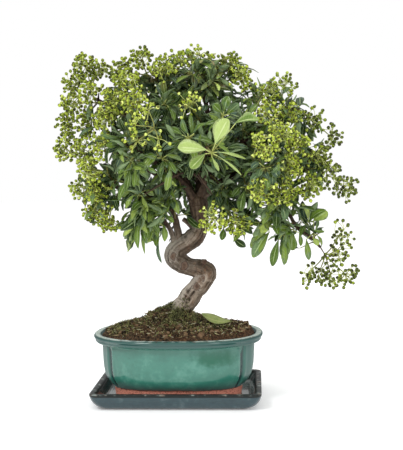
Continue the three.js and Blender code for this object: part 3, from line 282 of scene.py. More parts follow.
# middle of the crown; what leaves of side twigs stay in, an ellipse seen from the front (middle x,
# half width, half height above the crown's middle) and as far back and forth as half depth about y
CROWN = np.array([30.0, 0, 285])
CROWN_REACH = (32, 142, 118, 5, 122)
# boxes that leaves of side twigs stay out of: x from and to, z from and to, and in front of which y:
# before the young leaves, the trunk's fork, the bare twigs left of the trunk and the hanging sprig
KEEP_CLEAR = ((-2, 102, 259, 331, -90), (11, 37, 211, 259, 0), (-22, 18, 0, 216, 999),
    (128, 999, 0, 186, 999))
# turn from one leaf of a twig to the next, 137.5 degrees
LEAF_TURN = 2.399963
# a leaf's section: places across, from edge to edge on the upper face and back under it, and which
# face each is on
BLADE_ACROSS = np.array([1, 0.5, 0, -0.5, -1, -0.5, 0, 0.5])
BLADE_FACE = np.array([0.5, 1, 1, 1, 0.5, 0, 0, 0])
BLADE_THICK = 0.32

# the camera that matches the photograph: place, turn left, tilt down and roll in degrees, and its
# focal length in pixels of a frame 403 wide and 450 high
CAMERA_AT = (93.28, -1209.36, 279.2)
CAMERA_YAW, CAMERA_PITCH, CAMERA_ROLL = 3.052, 3.488, -0.66
FOCAL_PX, FRAME_HIGH, SENSOR = 1027.56, 450, 36
# floor: half its width, its squares along a side, and how far it lies below the saucer
FLOOR_HALF, FLOOR_SQUARES, FLOOR_DROP = 6000, 24, 0.05
# lamps: place in metres, width, and power as a share of the main one
LAMPS = {"key": ((-0.95, -1.35, 1.6), 0.5, 1), "fill": ((1.0, -1.6, 0.7), 0.5, 0.5),
         "top": ((0.1, 0.2, 2.1), 0.9, 0.8)}
# the point that they face, in metres
LIT_POINT = np.array([0, 0, 0.2])


# Numbers and curves
def unit(v):
    """Each vector divided by its length."""
    return v / np.maximum(np.linalg.norm(v, axis=-1, keepdims=True), 1e-9)


def across(v, way):
    """Each v less its part along way, at length one."""
    way = unit(way)
    return unit(v - (v * way).sum(-1, keepdims=True) * way)


def noise(p, cell, seed=0):
    """Smooth random height from -1 to 1 at each point.

    Every corner of a lattice of that cell has a random value; a point mixes the eight corners
    round it, each by the product of 3t^2 - 2t^3 along the three axes.
    """
    q = np.asarray(p, float) / cell
    low = np.floor(q).astype(np.int64)
    t = q - low
    t = t * t * (3 - 2 * t)
    out = np.zeros(q.shape[:-1])
    for corner in np.ndindex(2, 2, 2):
        c = low + np.array(corner)
        h = c[..., 0] * 73856093 ^ c[..., 1] * 19349663 ^ c[..., 2] * 83492791 ^ (seed * 2654435 + 977)
        h = (h ^ (h >> 13)) * 1274126177 & 0x7FFFFFFF
        h = (h ^ (h >> 16)) & 0xFFFF
        out += np.where(corner, t, 1 - t).prod(-1) * (h / 32767.5 - 1)
    return out


def spline(rows, count):
    """count points evenly along a smooth curve through the rows.

    Between two rows the curve is the cubic whose slope at each row is half the step from the row
    before to the row after; any number of columns.
    """
    rows = np.asarray(rows, float)
    p = np.vstack([2 * rows[0] - rows[1], rows, 2 * rows[-1] - rows[-2]])
    s = np.linspace(0, len(rows) - 1, count)
    i = np.minimum(s.astype(int), len(rows) - 2)
    t = (s - i)[:, None]
    a, b, c, d = p[i], p[i + 1], p[i + 2], p[i + 3]
    return 0.5 * (2 * b + (c - a) * t + (2 * a - 5 * b + 4 * c - d) * t**2 + (3 * b - a - 3 * c + d) * t**3)


def on_limb(name, t):
    """Points at t, from 0 to 1, on a limb, and the limb's radius there."""
    start, end, route = LIMBS[name]
    fine = spline(route, 121)
    t = np.asarray(t, float)
    at = np.stack([np.interp(t * 120, np.arange(121), fine[:, k]) for k in range(3)], -1)
    return at, start + (end - start) * t**0.8


def around(count):
    """Angles right round, evenly."""
    return np.linspace(0, 2 * np.pi, count, endpoint=False)


def xyz(x, y, z=0.0):
    """Points from their three numbers."""
    return np.stack([x, y, z + 0 * x], -1)


def bells(x, y, rows):
    """Sum of bells, each its height times exp(-((x - cx) / wide)^2 - ((y - cy) / deep)^2)."""
    return sum(high * np.exp(-(((x - cx) / wide) ** 2) - ((y - cy) / deep) ** 2)
               for cx, cy, wide, deep, high in rows)


def bend(start, way, end, count):
    """Cubic curves from start, leaving along way, to end; arrays of starts and ends give as many curves.

    The first control point lies 0.38 of the span along way, the second 0.68 of the way to the end.
    """
    start, way, end = (np.atleast_2d(np.asarray(v, float)) for v in (start, way, end))
    span = np.linalg.norm(end - start, axis=1, keepdims=True)
    one = start + unit(way) * 0.38 * span
    two = start + (end - start) * 0.68
    t = np.linspace(0, 1, count)[None, :, None]
    s, o, w, e = (v[:, None] for v in (start, one, two, end))
    return s * (1 - t)**3 + 3 * o * t * (1 - t)**2 + 3 * w * t**2 * (1 - t) + e * t**3


# Meshes
class Skin:
    """Points with their faces: quads and triangles, a finish number, and what the finish reads.

    form holds three numbers a point (along, across, which side), tint one.
    """

    def __init__(self, points, quads, tris, form=None, tint=0.5, finish=0):
        n = len(points)
        self.points, self.quads, self.tris = points, quads, tris
        self.form = np.zeros((n, 3)) if form is None else form
        self.tint = np.broadcast_to(np.asarray(tint, float), (n,))
        self.finish = np.full(len(quads) + len(tris), finish)


def tubes(rings, first=None, last=None, form=None, tint=0.5, finish=0):
    """Closed skins through rings, an array (copy, ring, place round, xyz).

    Quads join each ring to the next and go right round. Fans of triangles close the first and
    last ring to the poles first and last (copy, xyz), or to the ring's own middle.
    """
    n, r, k, _ = rings.shape
    first = rings[:, 0].mean(1) if first is None else first
    last = rings[:, -1].mean(1) if last is None else last
    points = np.concatenate([rings.reshape(n, r * k, 3), first[:, None], last[:, None]], 1)
    i, j = np.meshgrid(np.arange(r - 1), np.arange(k), indexing="ij")
    m = (j + 1) % k
    quad = np.stack([i * k + j, i * k + m, (i + 1) * k + m, (i + 1) * k + j], -1).reshape(-1, 4)
    j, m = np.arange(k), (np.arange(k) + 1) % k
    low, high = np.full(k, r * k), np.full(k, r * k + 1)
    tri = np.vstack([np.stack([low, m, j], 1), np.stack([high, (r - 1) * k + j, (r - 1) * k + m], 1)])
    step = (np.arange(n) * (r * k + 2))[:, None, None]
    if form is not None:
        form = np.concatenate([form.reshape(n, r * k, 3), form[:, 0].mean(1)[:, None],
                               form[:, -1].mean(1)[:, None]], 1).reshape(-1, 3)
    if np.ndim(tint):
        tint = np.repeat(np.asarray(tint, float).reshape(n), r * k + 2)
    quads, tris = (quad + step).reshape(-1, 4), (tri + step).reshape(-1, 3)
    return Skin(points.reshape(-1, 3), quads, tris, form, tint, finish)


def shut_ring(rings, tint):
    """One skin through rings (ring, place round, xyz) whose last ring joins the first."""
    r, k, _ = rings.shape
    i, j = np.meshgrid(np.arange(r), np.arange(k), indexing="ij")
    m, b = (j + 1) % k, (i + 1) % r
    quad = np.stack([i * k + j, i * k + m, b * k + m, b * k + j], -1).reshape(-1, 4)
    return Skin(rings.reshape(-1, 3), quad, np.zeros((0, 3), int), tint=tint)


def along(rings, value):
    """What a finish reads on rings (copy, ring, place round, xyz): along is value, the other two are 0."""
    form = np.zeros((*rings.shape[:3], 3))
    form[..., 0] = value
    return form


def rounds(paths, radii, sides):
    """Rings across paths (copy, station, xyz): a circle of that radius on two directions across the path.

    One direction is a fixed reference less its part along the path, so that it never turns.
    """
    way = unit(np.gradient(paths, axis=1))
    whole = unit(paths[:, -1] - paths[:, 0])
    ref = np.where(np.abs(whole[:, 1:2]) < 0.75, [[0, 1, 0]], [[1, 0, 0]])[:, None]
    e = across(ref + 0 * way, way)
    f = np.cross(way, e)
    a = around(sides)[:, None]
    radii = np.asarray(radii, float)[..., None, None]
    return paths[:, :, None] + radii * (e[:, :, None] * np.cos(a) + f[:, :, None] * np.sin(a))


def make(name, skins, finishes, look, slot=None, nodes=()):
    """One object from skins, in metres at the origin, riding on the root and standing for the nodes.

    finishes are the functions that make them; without a slot it belongs to the stage.
    """
    start = np.cumsum([0] + [len(s.points) for s in skins])
    points = np.concatenate([s.points for s in skins]) * MM
    loops, sizes, finish = [], [], []
    for s, off in zip(skins, start):
        loops += [(s.quads + off).ravel(), (s.tris + off).ravel()]
        sizes += [np.full(len(s.quads), 4), np.full(len(s.tris), 3)]
        finish.append(s.finish)
    loops, sizes = np.concatenate(loops), np.concatenate(sizes)
    mesh = bpy.data.meshes.new(name)
    mesh.vertices.add(len(points))
    mesh.vertices.foreach_set("co", points.astype(np.float32).ravel())
    mesh.loops.add(len(loops))
    mesh.loops.foreach_set("vertex_index", loops.astype(np.int32))
    mesh.polygons.add(len(sizes))
    mesh.polygons.foreach_set("loop_start", np.concatenate([[0], np.cumsum(sizes)[:-1]]).astype(np.int32))
    for maker in finishes:
        mesh.materials.append(made(maker, look))
    mesh.polygons.foreach_set("material_index", np.concatenate(finish).astype(np.int32))
    mesh.polygons.foreach_set("use_smooth", np.ones(len(sizes), bool))
    mesh.update(calc_edges=True)
    form = mesh.attributes.new("form", "FLOAT_VECTOR", "POINT")
    form.data.foreach_set("vector", np.concatenate([s.form for s in skins]).astype(np.float32).ravel())
    tint = mesh.attributes.new("tint", "FLOAT", "POINT")
    tint.data.foreach_set("value", np.concatenate([s.tint for s in skins]).astype(np.float32))
    piece = bpy.data.objects.new(name, mesh)
    bpy.context.scene.collection.objects.link(piece)
    if slot is None:
        return
    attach(piece, "root")
    if nodes:
        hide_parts(*nodes)


# What the frame holds
def welded(node):
    """A node's points in millimetres, each once, and its triangles."""
    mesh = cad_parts[node].data
    co = np.empty(len(mesh.vertices) * 3)
    mesh.vertices.foreach_get("co", co)
    co = co.reshape(-1, 3) / MM
    corner = np.empty(len(mesh.loops), int)
    mesh.loops.foreach_get("vertex_index", corner)
    cells = np.round(co / WELD).astype(np.int64)
    _, once, back = np.unique(cells, axis=0, return_index=True, return_inverse=True)
    return co[once], back.ravel()[corner].reshape(-1, 3)


def tips(node):
    """The pointed ends of a node's pieces: each tip, the three points round it, and the mesh.

    A tip is a point where just three triangles meet.
    """
    points, tri = welded(node)
    count = np.bincount(tri.ravel(), minlength=len(points))
    row, k = np.nonzero((count == 3)[tri])
    order = np.argsort(tri[row, k], kind="stable")
    row, k = row[order], k[order]
    return tri[row, k].reshape(-1, 3)[:, 0], tri[row, (k + 1) % 3].reshape(-1, 3), points, tri


def solid_berries(name):
    """Middle and outward way of each berry in a bunch of the frame."""
    tip, ring, p, _ = tips("berries_" + name)
    way = unit(p[tip] - p[ring].mean(1))
    return p[tip] - BERRY_R * way, way


def opened(p, corners):
    """The two edges and the keel of a ring of three: the edges are the two corners furthest apart."""
    pairs = [(0, 1, 2), (1, 2, 0), (2, 0, 1)]
    i, j, k = max(pairs, key=lambda q: np.linalg.norm(p[corners[q[0]]] - p[corners[q[1]]]))
    return p[corners[i]], p[corners[j]], p[corners[k]]


def solid_leaves(node):
    """The blades of a node of the frame: base, tip, upward way, width, and 1 where broad, a row for each."""
    tip, ring, p, tri = tips(node)
    rows = []
    for t, r in zip(tip, ring):
        seen, ringed = {int(t)}, [list(map(int, r))]
        for _ in range(2):
            seen |= set(ringed[-1])
            near = tri[np.isin(tri, ringed[-1]).any(1)].ravel()
            ringed.append([int(q) for q in np.unique(near) if q not in seen])
        a, b, keel = opened(p, ringed[0])
        c, d, _ = opened(p, ringed[1])
        wide, before = np.linalg.norm(a - b), np.linalg.norm(c - d)
        broad = before > 0.6 * wide and len(ringed[2]) == 3
        root = p[ringed[2 if broad else 1]].mean(0)
        up = unit((a + b) / 2 - keel)
        base = p[t] + (root - p[t]) * 1.04
        rows.append((base, p[t], up, wide / (0.86 if broad else 1), float(broad)))
    return [np.array(v) for v in zip(*rows)]


# Finishes
def rgb(r, g, b):
    """A screen colour from 0 to 255 as the linear colour that nodes take."""
    c = np.array([r, g, b]) / 255
    return (*np.where(c > 0.04045, ((c + 0.055) / 1.055) ** 2.4, c / 12.92), 1.0)


def tone(colour):
    """A colour as nodes take it, from three screen numbers, a property's four linear ones or a link."""
    if isinstance(colour, Value):
        return colour
    return rgb(*colour) if len(colour) == 3 else tuple(colour)


class Value:
    """One socket of a finish; arithmetic on it adds Math nodes."""

    def __init__(self, finish, socket):
        self.finish, self.socket = finish, socket

    def math(self, operation, *values):
        """The result of a Math node."""
        return self.finish.node("ShaderNodeMath", {"operation": operation}, dict(enumerate(values)))

    def __add__(self, other):
        return self.math("ADD", self, other)

    def __sub__(self, other):
        return self.math("SUBTRACT", self, other)

    def __rsub__(self, other):
        return self.math("SUBTRACT", other, self)

    def __mul__(self, other):
        return self.math("MULTIPLY", self, other)

    def __abs__(self):
        return self.math("ABSOLUTE", self)

    __radd__, __rmul__ = __add__, __mul__

    def step(self, low, high):
        """0 below low, 1 above high, and smooth between; the other way round if low is the larger."""
        a, b, start, end = (low, high, 0.0, 1.0) if low < high else (high, low, 1.0, 0.0)
        return self.finish.node("ShaderNodeMapRange", {"interpolation_type": "SMOOTHSTEP"},
                                {0: self, 1: a, 2: b, 3: start, 4: end})


class Finish:
    """One material: its nodes all come from node(), and its Principled shader's sockets from shade()."""

    def __init__(self, name):
        self.material = bpy.data.materials.new(name)
        self.material.use_nodes = True
        self.tree = self.material.node_tree
        self.tree.nodes.clear()
        self.place = self.node("ShaderNodeTexCoord", {}, {}, "Object")
        self.tint = self.node("ShaderNodeAttribute", {"attribute_name": "tint"}, {}, "Fac")
        form = self.node("ShaderNodeAttribute", {"attribute_name": "form"}, {}, "Vector")
        self.along, self.across, self.side = self.parts(form)
        self.x, self.y, self.z = (v * (1 / MM) for v in self.parts(self.place))

    def parts(self, vector):
        """The three numbers of a vector."""
        outputs = self.node("ShaderNodeSeparateXYZ", {}, {0: vector}).socket.node.outputs
        return [Value(self, s) for s in outputs]

    def node(self, kind, settings, sockets, out=0):
        """Adds a node: its settings first (a ramp's stops among them), then its sockets' values or links."""
        node = self.tree.nodes.new(kind)
        for key, value in settings.items():
            if key != "stops":
                setattr(node, key, value)
                continue
            ramp = node.color_ramp.elements
            while len(ramp) < len(value):
                ramp.new(0.5)
            for element, (at, colour) in zip(ramp, value):
                element.position, element.color = at, colour
        for key, value in sockets.items():
            if isinstance(value, Value):
                self.tree.links.new(value.socket, node.inputs[key])
            else:
                node.inputs[key].default_value = value
        return None if out is None else Value(self, node.outputs[out])

    def mix(self, factor, a, b):
        """Colour a, turning to b as factor goes from 0 to 1."""
        return self.node("ShaderNodeMix", {"data_type": "RGBA"}, {0: factor, 6: tone(a), 7: tone(b)}, 2)

    def over(self, base, *coats):
        """Colour base under coats, each a mask from 0 to 1 and a colour, laid on in turn."""
        for mask, colour in coats:
            base = self.mix(mask, base, colour)
        return base

    def ramp(self, factor, *stops):
        """Colour by factor between stops, each a place from 0 to 1 and a colour."""
        return self.node("ShaderNodeValToRGB", {"stops": [(at, tone(c)) for at, c in stops]}, {0: factor})

    def scaled(self, x, y, z):
        """Object coordinates drawn out, to stretch a pattern."""
        return self.node("ShaderNodeMapping", {}, {"Vector": self.place, "Scale": (x, y, z)})

    def cloud(self, size, detail=3.0, rough=0.55, at=None):
        """Soft noise from 0 to 1 with features about size millimetres across."""
        return self.node("ShaderNodeTexNoise", {}, {"Vector": at or self.place, "Scale": 1 / (size * MM),
                                                    "Detail": detail, "Roughness": rough})

    def cells(self, size, at=None, feature="F1"):
        """Distance to the nearest of scattered points about size millimetres apart."""
        return self.node("ShaderNodeTexVoronoi", {"feature": feature},
                         {"Vector": at or self.place, "Scale": 1 / (size * MM), "Randomness": 1.0})

    def shade(self, colour, roughness, height=None, relief=1.0, coat=None, **fixed):
        """Ends the finish: colour, roughness and coat may vary; relief is the height's depth in mm."""
        sockets = {"Base Color": colour, "Roughness": roughness}
        sockets.update({key.replace("_", " "): value for key, value in fixed.items()})
        if coat is not None:
            sockets["Coat Weight"] = coat
        if height is not None:
            sockets["Normal"] = self.node("ShaderNodeBump", {}, {"Height": height, "Distance": relief * MM,
                                                                 "Strength": 1.0}, "Normal")
        shader = self.node("ShaderNodeBsdfPrincipled", {}, sockets)
        self.node("ShaderNodeOutputMaterial", {}, {"Surface": shader}, None)
        return self.material


def pot_glaze(look):
    """Teal glaze with clouds and runs, dark in the seams, pale along the lip's top as painted highlight and
    wear, darker at the rounded ends as painted shade; bare clay foot.

    tint is 1 in a seam.
    """
    f = Finish("pot_glaze")
    mottle = f.cloud(26, 4) * 0.6 + f.cloud(7, 3) * 0.4
    runs = f.cloud(16, 3, at=f.scaled(1, 1, 0.35))
    # a flat green blotch at the right of the front, its middle at x 44 and z 58
    flat = f.node("ShaderNodeMapping", {}, {"Vector": f.place, "Location": (-0.044, 0.0, -0.150),
                                            "Scale": (1, 0.3, 2.6)})
    away = f.node("ShaderNodeVectorMath", {"operation": "LENGTH"}, {0: flat}, "Value")
    blotch = (away * (1 / MM) + f.cloud(14, 3) * 28).step(52, 34) * f.y.step(-20, -45)
    high = (f.z + runs * 10).step(58, 72)
    ends = (abs(f.x) + mottle * 8).step(72, 90)
    low = (f.z + runs * 9).step(35, 25) * (0.55 + f.cloud(5, 3).step(0.4, 0.6) * 0.45)
    lip = (f.z + mottle * 3).step(71.5, 74)
    top = (f.z + mottle * 1.2).step(79.2, 80.2)
    wear_and_highlight = top * (f.cloud(9, 4) + abs(f.x) * 0.004).step(0.52, 0.78)
    chips = (f.z + mottle * 1.2).step(78.6, 79.4) * f.cloud(3.5, 3).step(0.56, 0.64)
    speck = f.cells(3.6).step(0.16, 0.08) * f.cloud(20, 2).step(0.45, 0.6)
    # the glaze ends in an uneven line over the clay
    crawl = f.z + f.cloud(13, 2) * 2.4 + f.cloud(3, 2) * 0.7
    clay = crawl.step(20.6, 20.0)
    edge = crawl.step(22.2, 20.4) * (1 - clay)
    grain = f.cloud(1.6, 4)
    base = f.over(
        f.ramp(mottle, (0.3, (50, 110, 95)), (0.5, look.glaze), (0.7, (88, 146, 130))),
        (blotch * 0.92, (0, 88, 64)),
        (high * 0.5, (42, 98, 84)),
        # painted shade: darker glaze at the rounded ends, where the walls turn from the light
        (ends * 0.84, (30, 80, 74)),
        (low * 0.7, (66, 99, 97)),
        (f.tint.step(0.3, 1.0) * 0.92, look.dark),
        (lip * 0.85, (32, 70, 67)),
        # painted highlight, with some wear: pale along the lip's top, more towards its ends
        (wear_and_highlight * 0.85, (184, 198, 188)),
        (chips * 0.6, (58, 44, 32)),
        (speck * 0.5, (38, 72, 70)),
        (clay, f.ramp(grain, (0.3, (118, 72, 58)), (0.55, look.clay), (0.75, (176, 122, 104)))),
        (edge * 0.6, (34, 62, 58)))
    rough = (1 - clay) * (0.12 + f.cloud(5, 2) * 0.08 + ends * 0.35) + clay * 0.8
    height = (1 - clay) * f.cloud(8, 2) * 0.35 + clay * (grain * 0.3 - 0.3)
    coat = (1 - clay) * (0.35 - ends * 0.3) * (1 - blotch * 0.85)
    return f.shade(base, rough, height=height, relief=0.6, coat=coat, Coat_Roughness=0.05)


def saucer_glaze(look):
    """Dark blue-grey glaze outside, nearly black green inside, with a pale line where it thins on the rim.

    tint is 1 inside.
    """
    f = Finish("saucer_glaze")
    mottle = f.cloud(18, 4) * 0.6 + f.cloud(5, 3) * 0.4
    rim = (f.z + mottle * 1.5).step(17.6, 18.9) * f.cloud(7, 4).step(0.48, 0.66)
    # painted highlight: paler along the top of the two short sides
    short = (f.z + mottle * 1.5).step(17.4, 18.4) * abs(f.x).step(84, 96)
    line = (f.z + mottle * 1.6).step(15.6, 16.8)
    foot = (f.z + f.cloud(6, 3) * 2).step(3.2, 2.0)
    base = f.over(
        f.ramp(mottle, (0.3, (40, 58, 64)), (0.55, look.saucer), (0.75, (76, 94, 98))),
        (f.tint, f.ramp(mottle, (0.35, (26, 40, 40)), (0.6, (48, 62, 60)), (0.8, (92, 108, 104)))),
        # painted reflection: the inside floor is paler, as if it mirrored the bright room
        (f.tint * f.z.step(9, 7) * (0.4 + mottle * 0.5), (150, 160, 158)),
        (rim * 0.6, (150, 156, 146)),
        (short * 0.6, (140, 152, 148)),
        (line * 0.95 * (1 - rim), (12, 18, 15)),
        (rim * f.cloud(4, 2).step(0.5, 0.6) * 0.5, (140, 96, 70)),
        (foot * 0.8, (104, 96, 88)))
    rough = 0.1 + mottle * 0.12 + foot * 0.4 + line * 0.3
    coat = (1 - foot) * (0.6 - line * 0.5)
    return f.shade(base, rough, height=mottle + f.cloud(2, 2) * 0.1, relief=0.5, coat=coat,
                   Coat_Roughness=0.04, Specular_IOR_Level=0.3)


def soil_finish(look):
    """Dark brown crumbs, lighter and redder in places, with grit; tint makes a crumb lighter or darker."""
    f = Finish("soil")
    grain = f.cloud(3.2, 6, 0.7)
    red = (f.cloud(24, 3) + f.x * 0.002).step(0.46, 0.66)
    grit = f.cells(2.6).step(0.2, 0.12) * f.cloud(9, 2).step(0.45, 0.6)
    base = f.over(
        f.ramp(grain, (0.36, (14, 10, 6)), (0.5, look.soil), (0.62, (116, 88, 60)), (0.74, (170, 140, 106))),
        (red * 0.5, f.ramp(grain, (0.35, (44, 26, 16)), (0.6, (104, 70, 50)), (0.75, (146, 108, 82)))),
        (grit * 0.7, (150, 130, 104)),
        (f.tint.step(0.6, 1.0) * 0.75, (164, 134, 102)),
        (f.tint.step(0.45, 0.0) * 0.8, (20, 14, 9)))
    return f.shade(base, 0.9, height=grain + f.cells(2.2) * 0.8, relief=2.4, Specular_IOR_Level=0.15)


def moss_finish(look):
    """Olive to brown moss, paler at the tips."""
    f = Finish("moss")
    base = f.over(
        f.ramp(f.tint * 0.6 + f.cloud(12, 3) * 0.5,
               (0.3, (18, 20, 8)), (0.55, look.moss), (0.85, (122, 132, 68))),
        (f.along * f.tint.step(0.66, 0.9) * 0.85, (200, 198, 140)))
    return f.shade(base, 0.85, height=f.cloud(1.0, 2), relief=0.2, Specular_IOR_Level=0.2)


def straw_finish(look):
    """Pale dry bits of stalk and bark."""
    f = Finish("straw")
    base = f.over(
        f.ramp(f.tint,
               (0.0, (122, 96, 66)), (0.5, (186, 168, 122)), (0.8, (222, 216, 188)), (1.0, (206, 208, 120))),
        (f.cloud(1.5, 3) * 0.35, (120, 92, 60)))
    return f.shade(base, 0.75, height=f.cloud(0.8, 3), relief=0.15)


def bark_finish(look):
    """Grey-brown bark: pale rubbed ridges, more of them to the left as painted light, dark cracks along the
    wood, darker and browner up the tree.

    tint is the relief from 0, deep, to 1, raised; across runs from 0 to 1 at the middle of a scar;
    along is how far out from the trunk, 0 to 1; side is 1 where the bark faces the light, up and
    to the left, and 0 on the far side, for painted light and shade.
    """
    f = Finish("bark")
    fine = f.cloud(2.2, 6, 0.7)
    patch = f.cloud(17, 4)
    raised = f.tint * 0.7 + fine * 0.5
    # pale grey patches on the raised bark, partly its own grey and partly painted light: more of them lie to
    # the left, towards the light
    pale = (f.x * -0.05 + patch * 1.6 + 0.4).step(0.75, 1.75) * f.z.step(232, 176)
    rust = f.cloud(9, 5, 0.65, at=f.scaled(1, 1, 0.5)).step(0.5, 0.68) * (f.x * 0.01 + 0.45 + patch * 0.4)
    scar = f.across + (f.cloud(3, 4, 0.7) - 0.5) * 1.1
    algae = (f.z + f.x * 0.7 + patch * 18).step(126, 112)
    cracks = f.cells(5.5, at=f.scaled(1, 1, 0.45), feature="DISTANCE_TO_EDGE").step(0.09, 0.0)
    cracks = cracks * f.cloud(14, 2).step(0.45, 0.6)
    base = f.over(
        f.ramp(raised,
               (0.28, (46, 36, 27)), (0.5, look.bark), (0.68, (126, 110, 94)), (0.88, (168, 155, 140))),
        # paler low down, and darker from the right bend to the left one
        (f.z.step(150, 120) * raised.step(0.3, 0.6) * 0.35, (182, 168, 150)),
        (f.z.step(146, 154) * f.z.step(190, 172) * 0.55, (66, 55, 44)),
        (pale * raised.step(0.3, 0.8) * 0.9, (184, 174, 160)),
        (rust * 0.7, f.ramp(fine, (0.35, (74, 48, 32)), (0.6, (128, 92, 66)), (0.8, (160, 128, 98)))),
        # up the tree, and out along the limbs
        (f.z.step(196, 232) * 0.75,
         f.ramp(raised, (0.3, (44, 33, 24)), (0.6, (82, 64, 49)), (0.9, (112, 92, 74)))),
        (f.along * 0.85, f.ramp(fine, (0.35, (38, 28, 21)), (0.6, (72, 53, 40)), (0.8, (108, 86, 66)))),
        # painted light and shade: paler on the side that faces the light, darker on the far one
        (f.side.step(0.72, 1.0) * raised.step(0.25, 0.6) * f.z.step(215, 185) * 0.55, (190, 182, 170)),
        (f.side.step(0.5, 0.12) * (1 - f.along) * 0.5, (60, 46, 35)),
        (scar.step(0.2, 0.5) * f.across.step(0.0, 0.3) * 0.7,
         f.ramp(scar, (0.35, (42, 30, 23)), (0.6, (66, 46, 36)), (0.85, (116, 90, 74)), (1.0, (88, 66, 54)))),
        (algae * 0.8, (66, 68, 40)),
        (cracks * 0.2 * (1 - f.along), (48, 38, 30)))
    return f.shade(base, 0.62 + fine * 0.25, height=fine * 0.8 + raised * 0.4 - cracks * 0.5, relief=1.1,
                   Specular_IOR_Level=0.25)


def berry_finish(look):
    """Unripe berries: fresh green skin, lighter on the shoulder, with a brown withered crown at the end.

    along runs from 0 at the stalk to 1 at the crown.
    """
    f = Finish("berry_skin")
    crown = (f.along + f.cloud(1.1, 2) * 0.12).step(0.72, 0.86)
    base = f.over(
        f.ramp(f.tint, (0.0, (70, 86, 8)), (0.45, look.berry), (0.8, (192, 208, 82)), (1.0, (224, 236, 132))),
        (f.cloud(2.4, 2).step(0.4, 0.75) * 0.35, (190, 204, 92)),
        (f.along.step(0.25, 0.0) * 0.4, (184, 198, 96)),
        (crown * 0.92, f.ramp(f.tint, (0.0, (30, 24, 6)), (1.0, (72, 62, 16)))))
    return f.shade(base, 0.27 + crown * 0.4, height=f.cloud(0.9, 2), relief=0.06, Specular_IOR_Level=0.26)


def stalk_finish(look):
    """Thin green stalks, browner towards the wood (along from 0 at the wood to 1)."""
    f = Finish("stalk")
    base = f.ramp(f.along * 0.8 + f.cloud(6, 2) * 0.3, (0.15, (92, 74, 48)), (0.5, (136, 142, 66)),
                  (0.85, (204, 214, 126)))
    return f.shade(base, 0.55, height=f.cloud(0.9, 3), relief=0.12)


def leaf_finish(name, stops, under, rib, gloss, sheen):
    """A leaf: colour by tint, paler rib and side veins, lighter felted underside, mottled blade.

    along runs from the stalk to the tip, across from -1 to 1, side is 1 on the upper face and 0
    below. The side veins are ripples of along * 9 - |across| * 1.6 turned to thin lines.
    """
    f = Finish(name)
    out = abs(f.across)
    midrib = out.step(0.14, 0.03) * f.along.step(1.0, 0.75)
    ripple = f.node("ShaderNodeMath", {"operation": "PINGPONG"}, {0: f.along * 9 - out * 1.6, 1: 0.5})
    vein = ripple.step(0.09, 0.0) * out.step(1.0, 0.55)
    mottle = f.cloud(5, 3)
    below = f.mix(midrib * 0.5, f.mix(mottle * 0.5, under, rib), rib)
    base = f.over(
        f.ramp(f.tint * 0.85 + mottle * 0.22 - 0.04, *stops),
        # the newest growth, at the top, is bronze
        (f.z.step(348, 384) * f.cloud(14, 2).step(0.46, 0.6) * 0.6, (132, 102, 60)),
        # painted sheen: patches of reflected light on some of them
        (f.cloud(17, 2, 0.4).step(0.54, 0.6) * 0.45, sheen),
        (vein * 0.28, rib),
        (midrib * 0.7, rib),
        (out.step(0.88, 1.0) * 0.4, rib),
        (1 - f.side, below))
    return f.shade(base, gloss + (1 - f.side) * 0.35 + mottle * 0.12,
                   height=0.0 - midrib * 0.6 - vein * 0.35 + mottle * 0.2, relief=0.35,
                   coat=f.side * (0.03 + f.tint * 0.5), Coat_Roughness=0.12, Specular_IOR_Level=0.12)


def leaf_green(look):
    """Deep to yellow green, with a painted blue-grey sheen."""
    stops = ((0.0, (11, 24, 3)), (0.22, (35, 58, 10)), (0.42, (82, 109, 28)), (0.66, (130, 154, 60)),
             (0.92, (184, 202, 102)))
    return leaf_finish("leaf_green", stops, (112, 134, 102), (168, 188, 130), 0.3, (78, 104, 98))


def leaf_young(look):
    """Pale yellow green."""
    stops = ((0.0, (92, 122, 50)), (0.5, (140, 162, 80)), (0.9, (176, 196, 118)))
    return leaf_finish("leaf_young", stops, (178, 194, 138), (208, 222, 160), 0.42, (150, 172, 96))


def leaf_dropped(look):
    """Fading grey green."""
    stops = ((0.0, (104, 122, 60)), (0.5, (140, 154, 88)), (0.9, (176, 182, 118)))
    return leaf_finish("leaf_dropped", stops, (164, 168, 116), (186, 188, 132), 0.45, (120, 140, 76))


def floor_finish(look):
    """White floor, a little uneven."""
    f = Finish("floor")
    light = np.array(look.floor)
    base = f.mix(f.cloud(300, 2), (*light, 1), (*(light * 0.985), 1))
    return f.shade(base, 0.9, Specular_IOR_Level=0.1, Emission_Color=(1, 1, 1, 1), Emission_Strength=0.18)


FINISHES = {}


def made(maker, look):
    """A finish by the function that makes it, made once."""
    if maker not in FINISHES:
        FINISHES[maker] = maker(look)
    return FINISHES[maker]


# Saucer, pot and soil
def tray_rings(rows):
    """Rectangles with round corners, one for each row (half length, half width, corner radius, height).

    Each corner is a quarter circle of that radius, and straight sides of six points join them.
    """
    a, b, r, z = (rows[:, k, None, None] for k in range(4))
    turn = (np.arange(4)[:, None] + np.linspace(0, 1, 11)[None]) * np.pi / 2
    sx = np.array([1, -1, -1, 1])[:, None]
    sy = np.array([1, 1, -1, -1])[:, None]
    ring = xyz(sx * (a - r) + r * np.cos(turn), sy * (b - r) + r * np.sin(turn), z)
    t = (np.arange(1, 7) / 7)[None, None, :, None]
    side = ring[:, :, -1:] * (1 - t) + np.roll(ring[:, :, :1], -1, 1) * t
    return np.concatenate([ring, side], 2).reshape(len(rows), -1, 3)


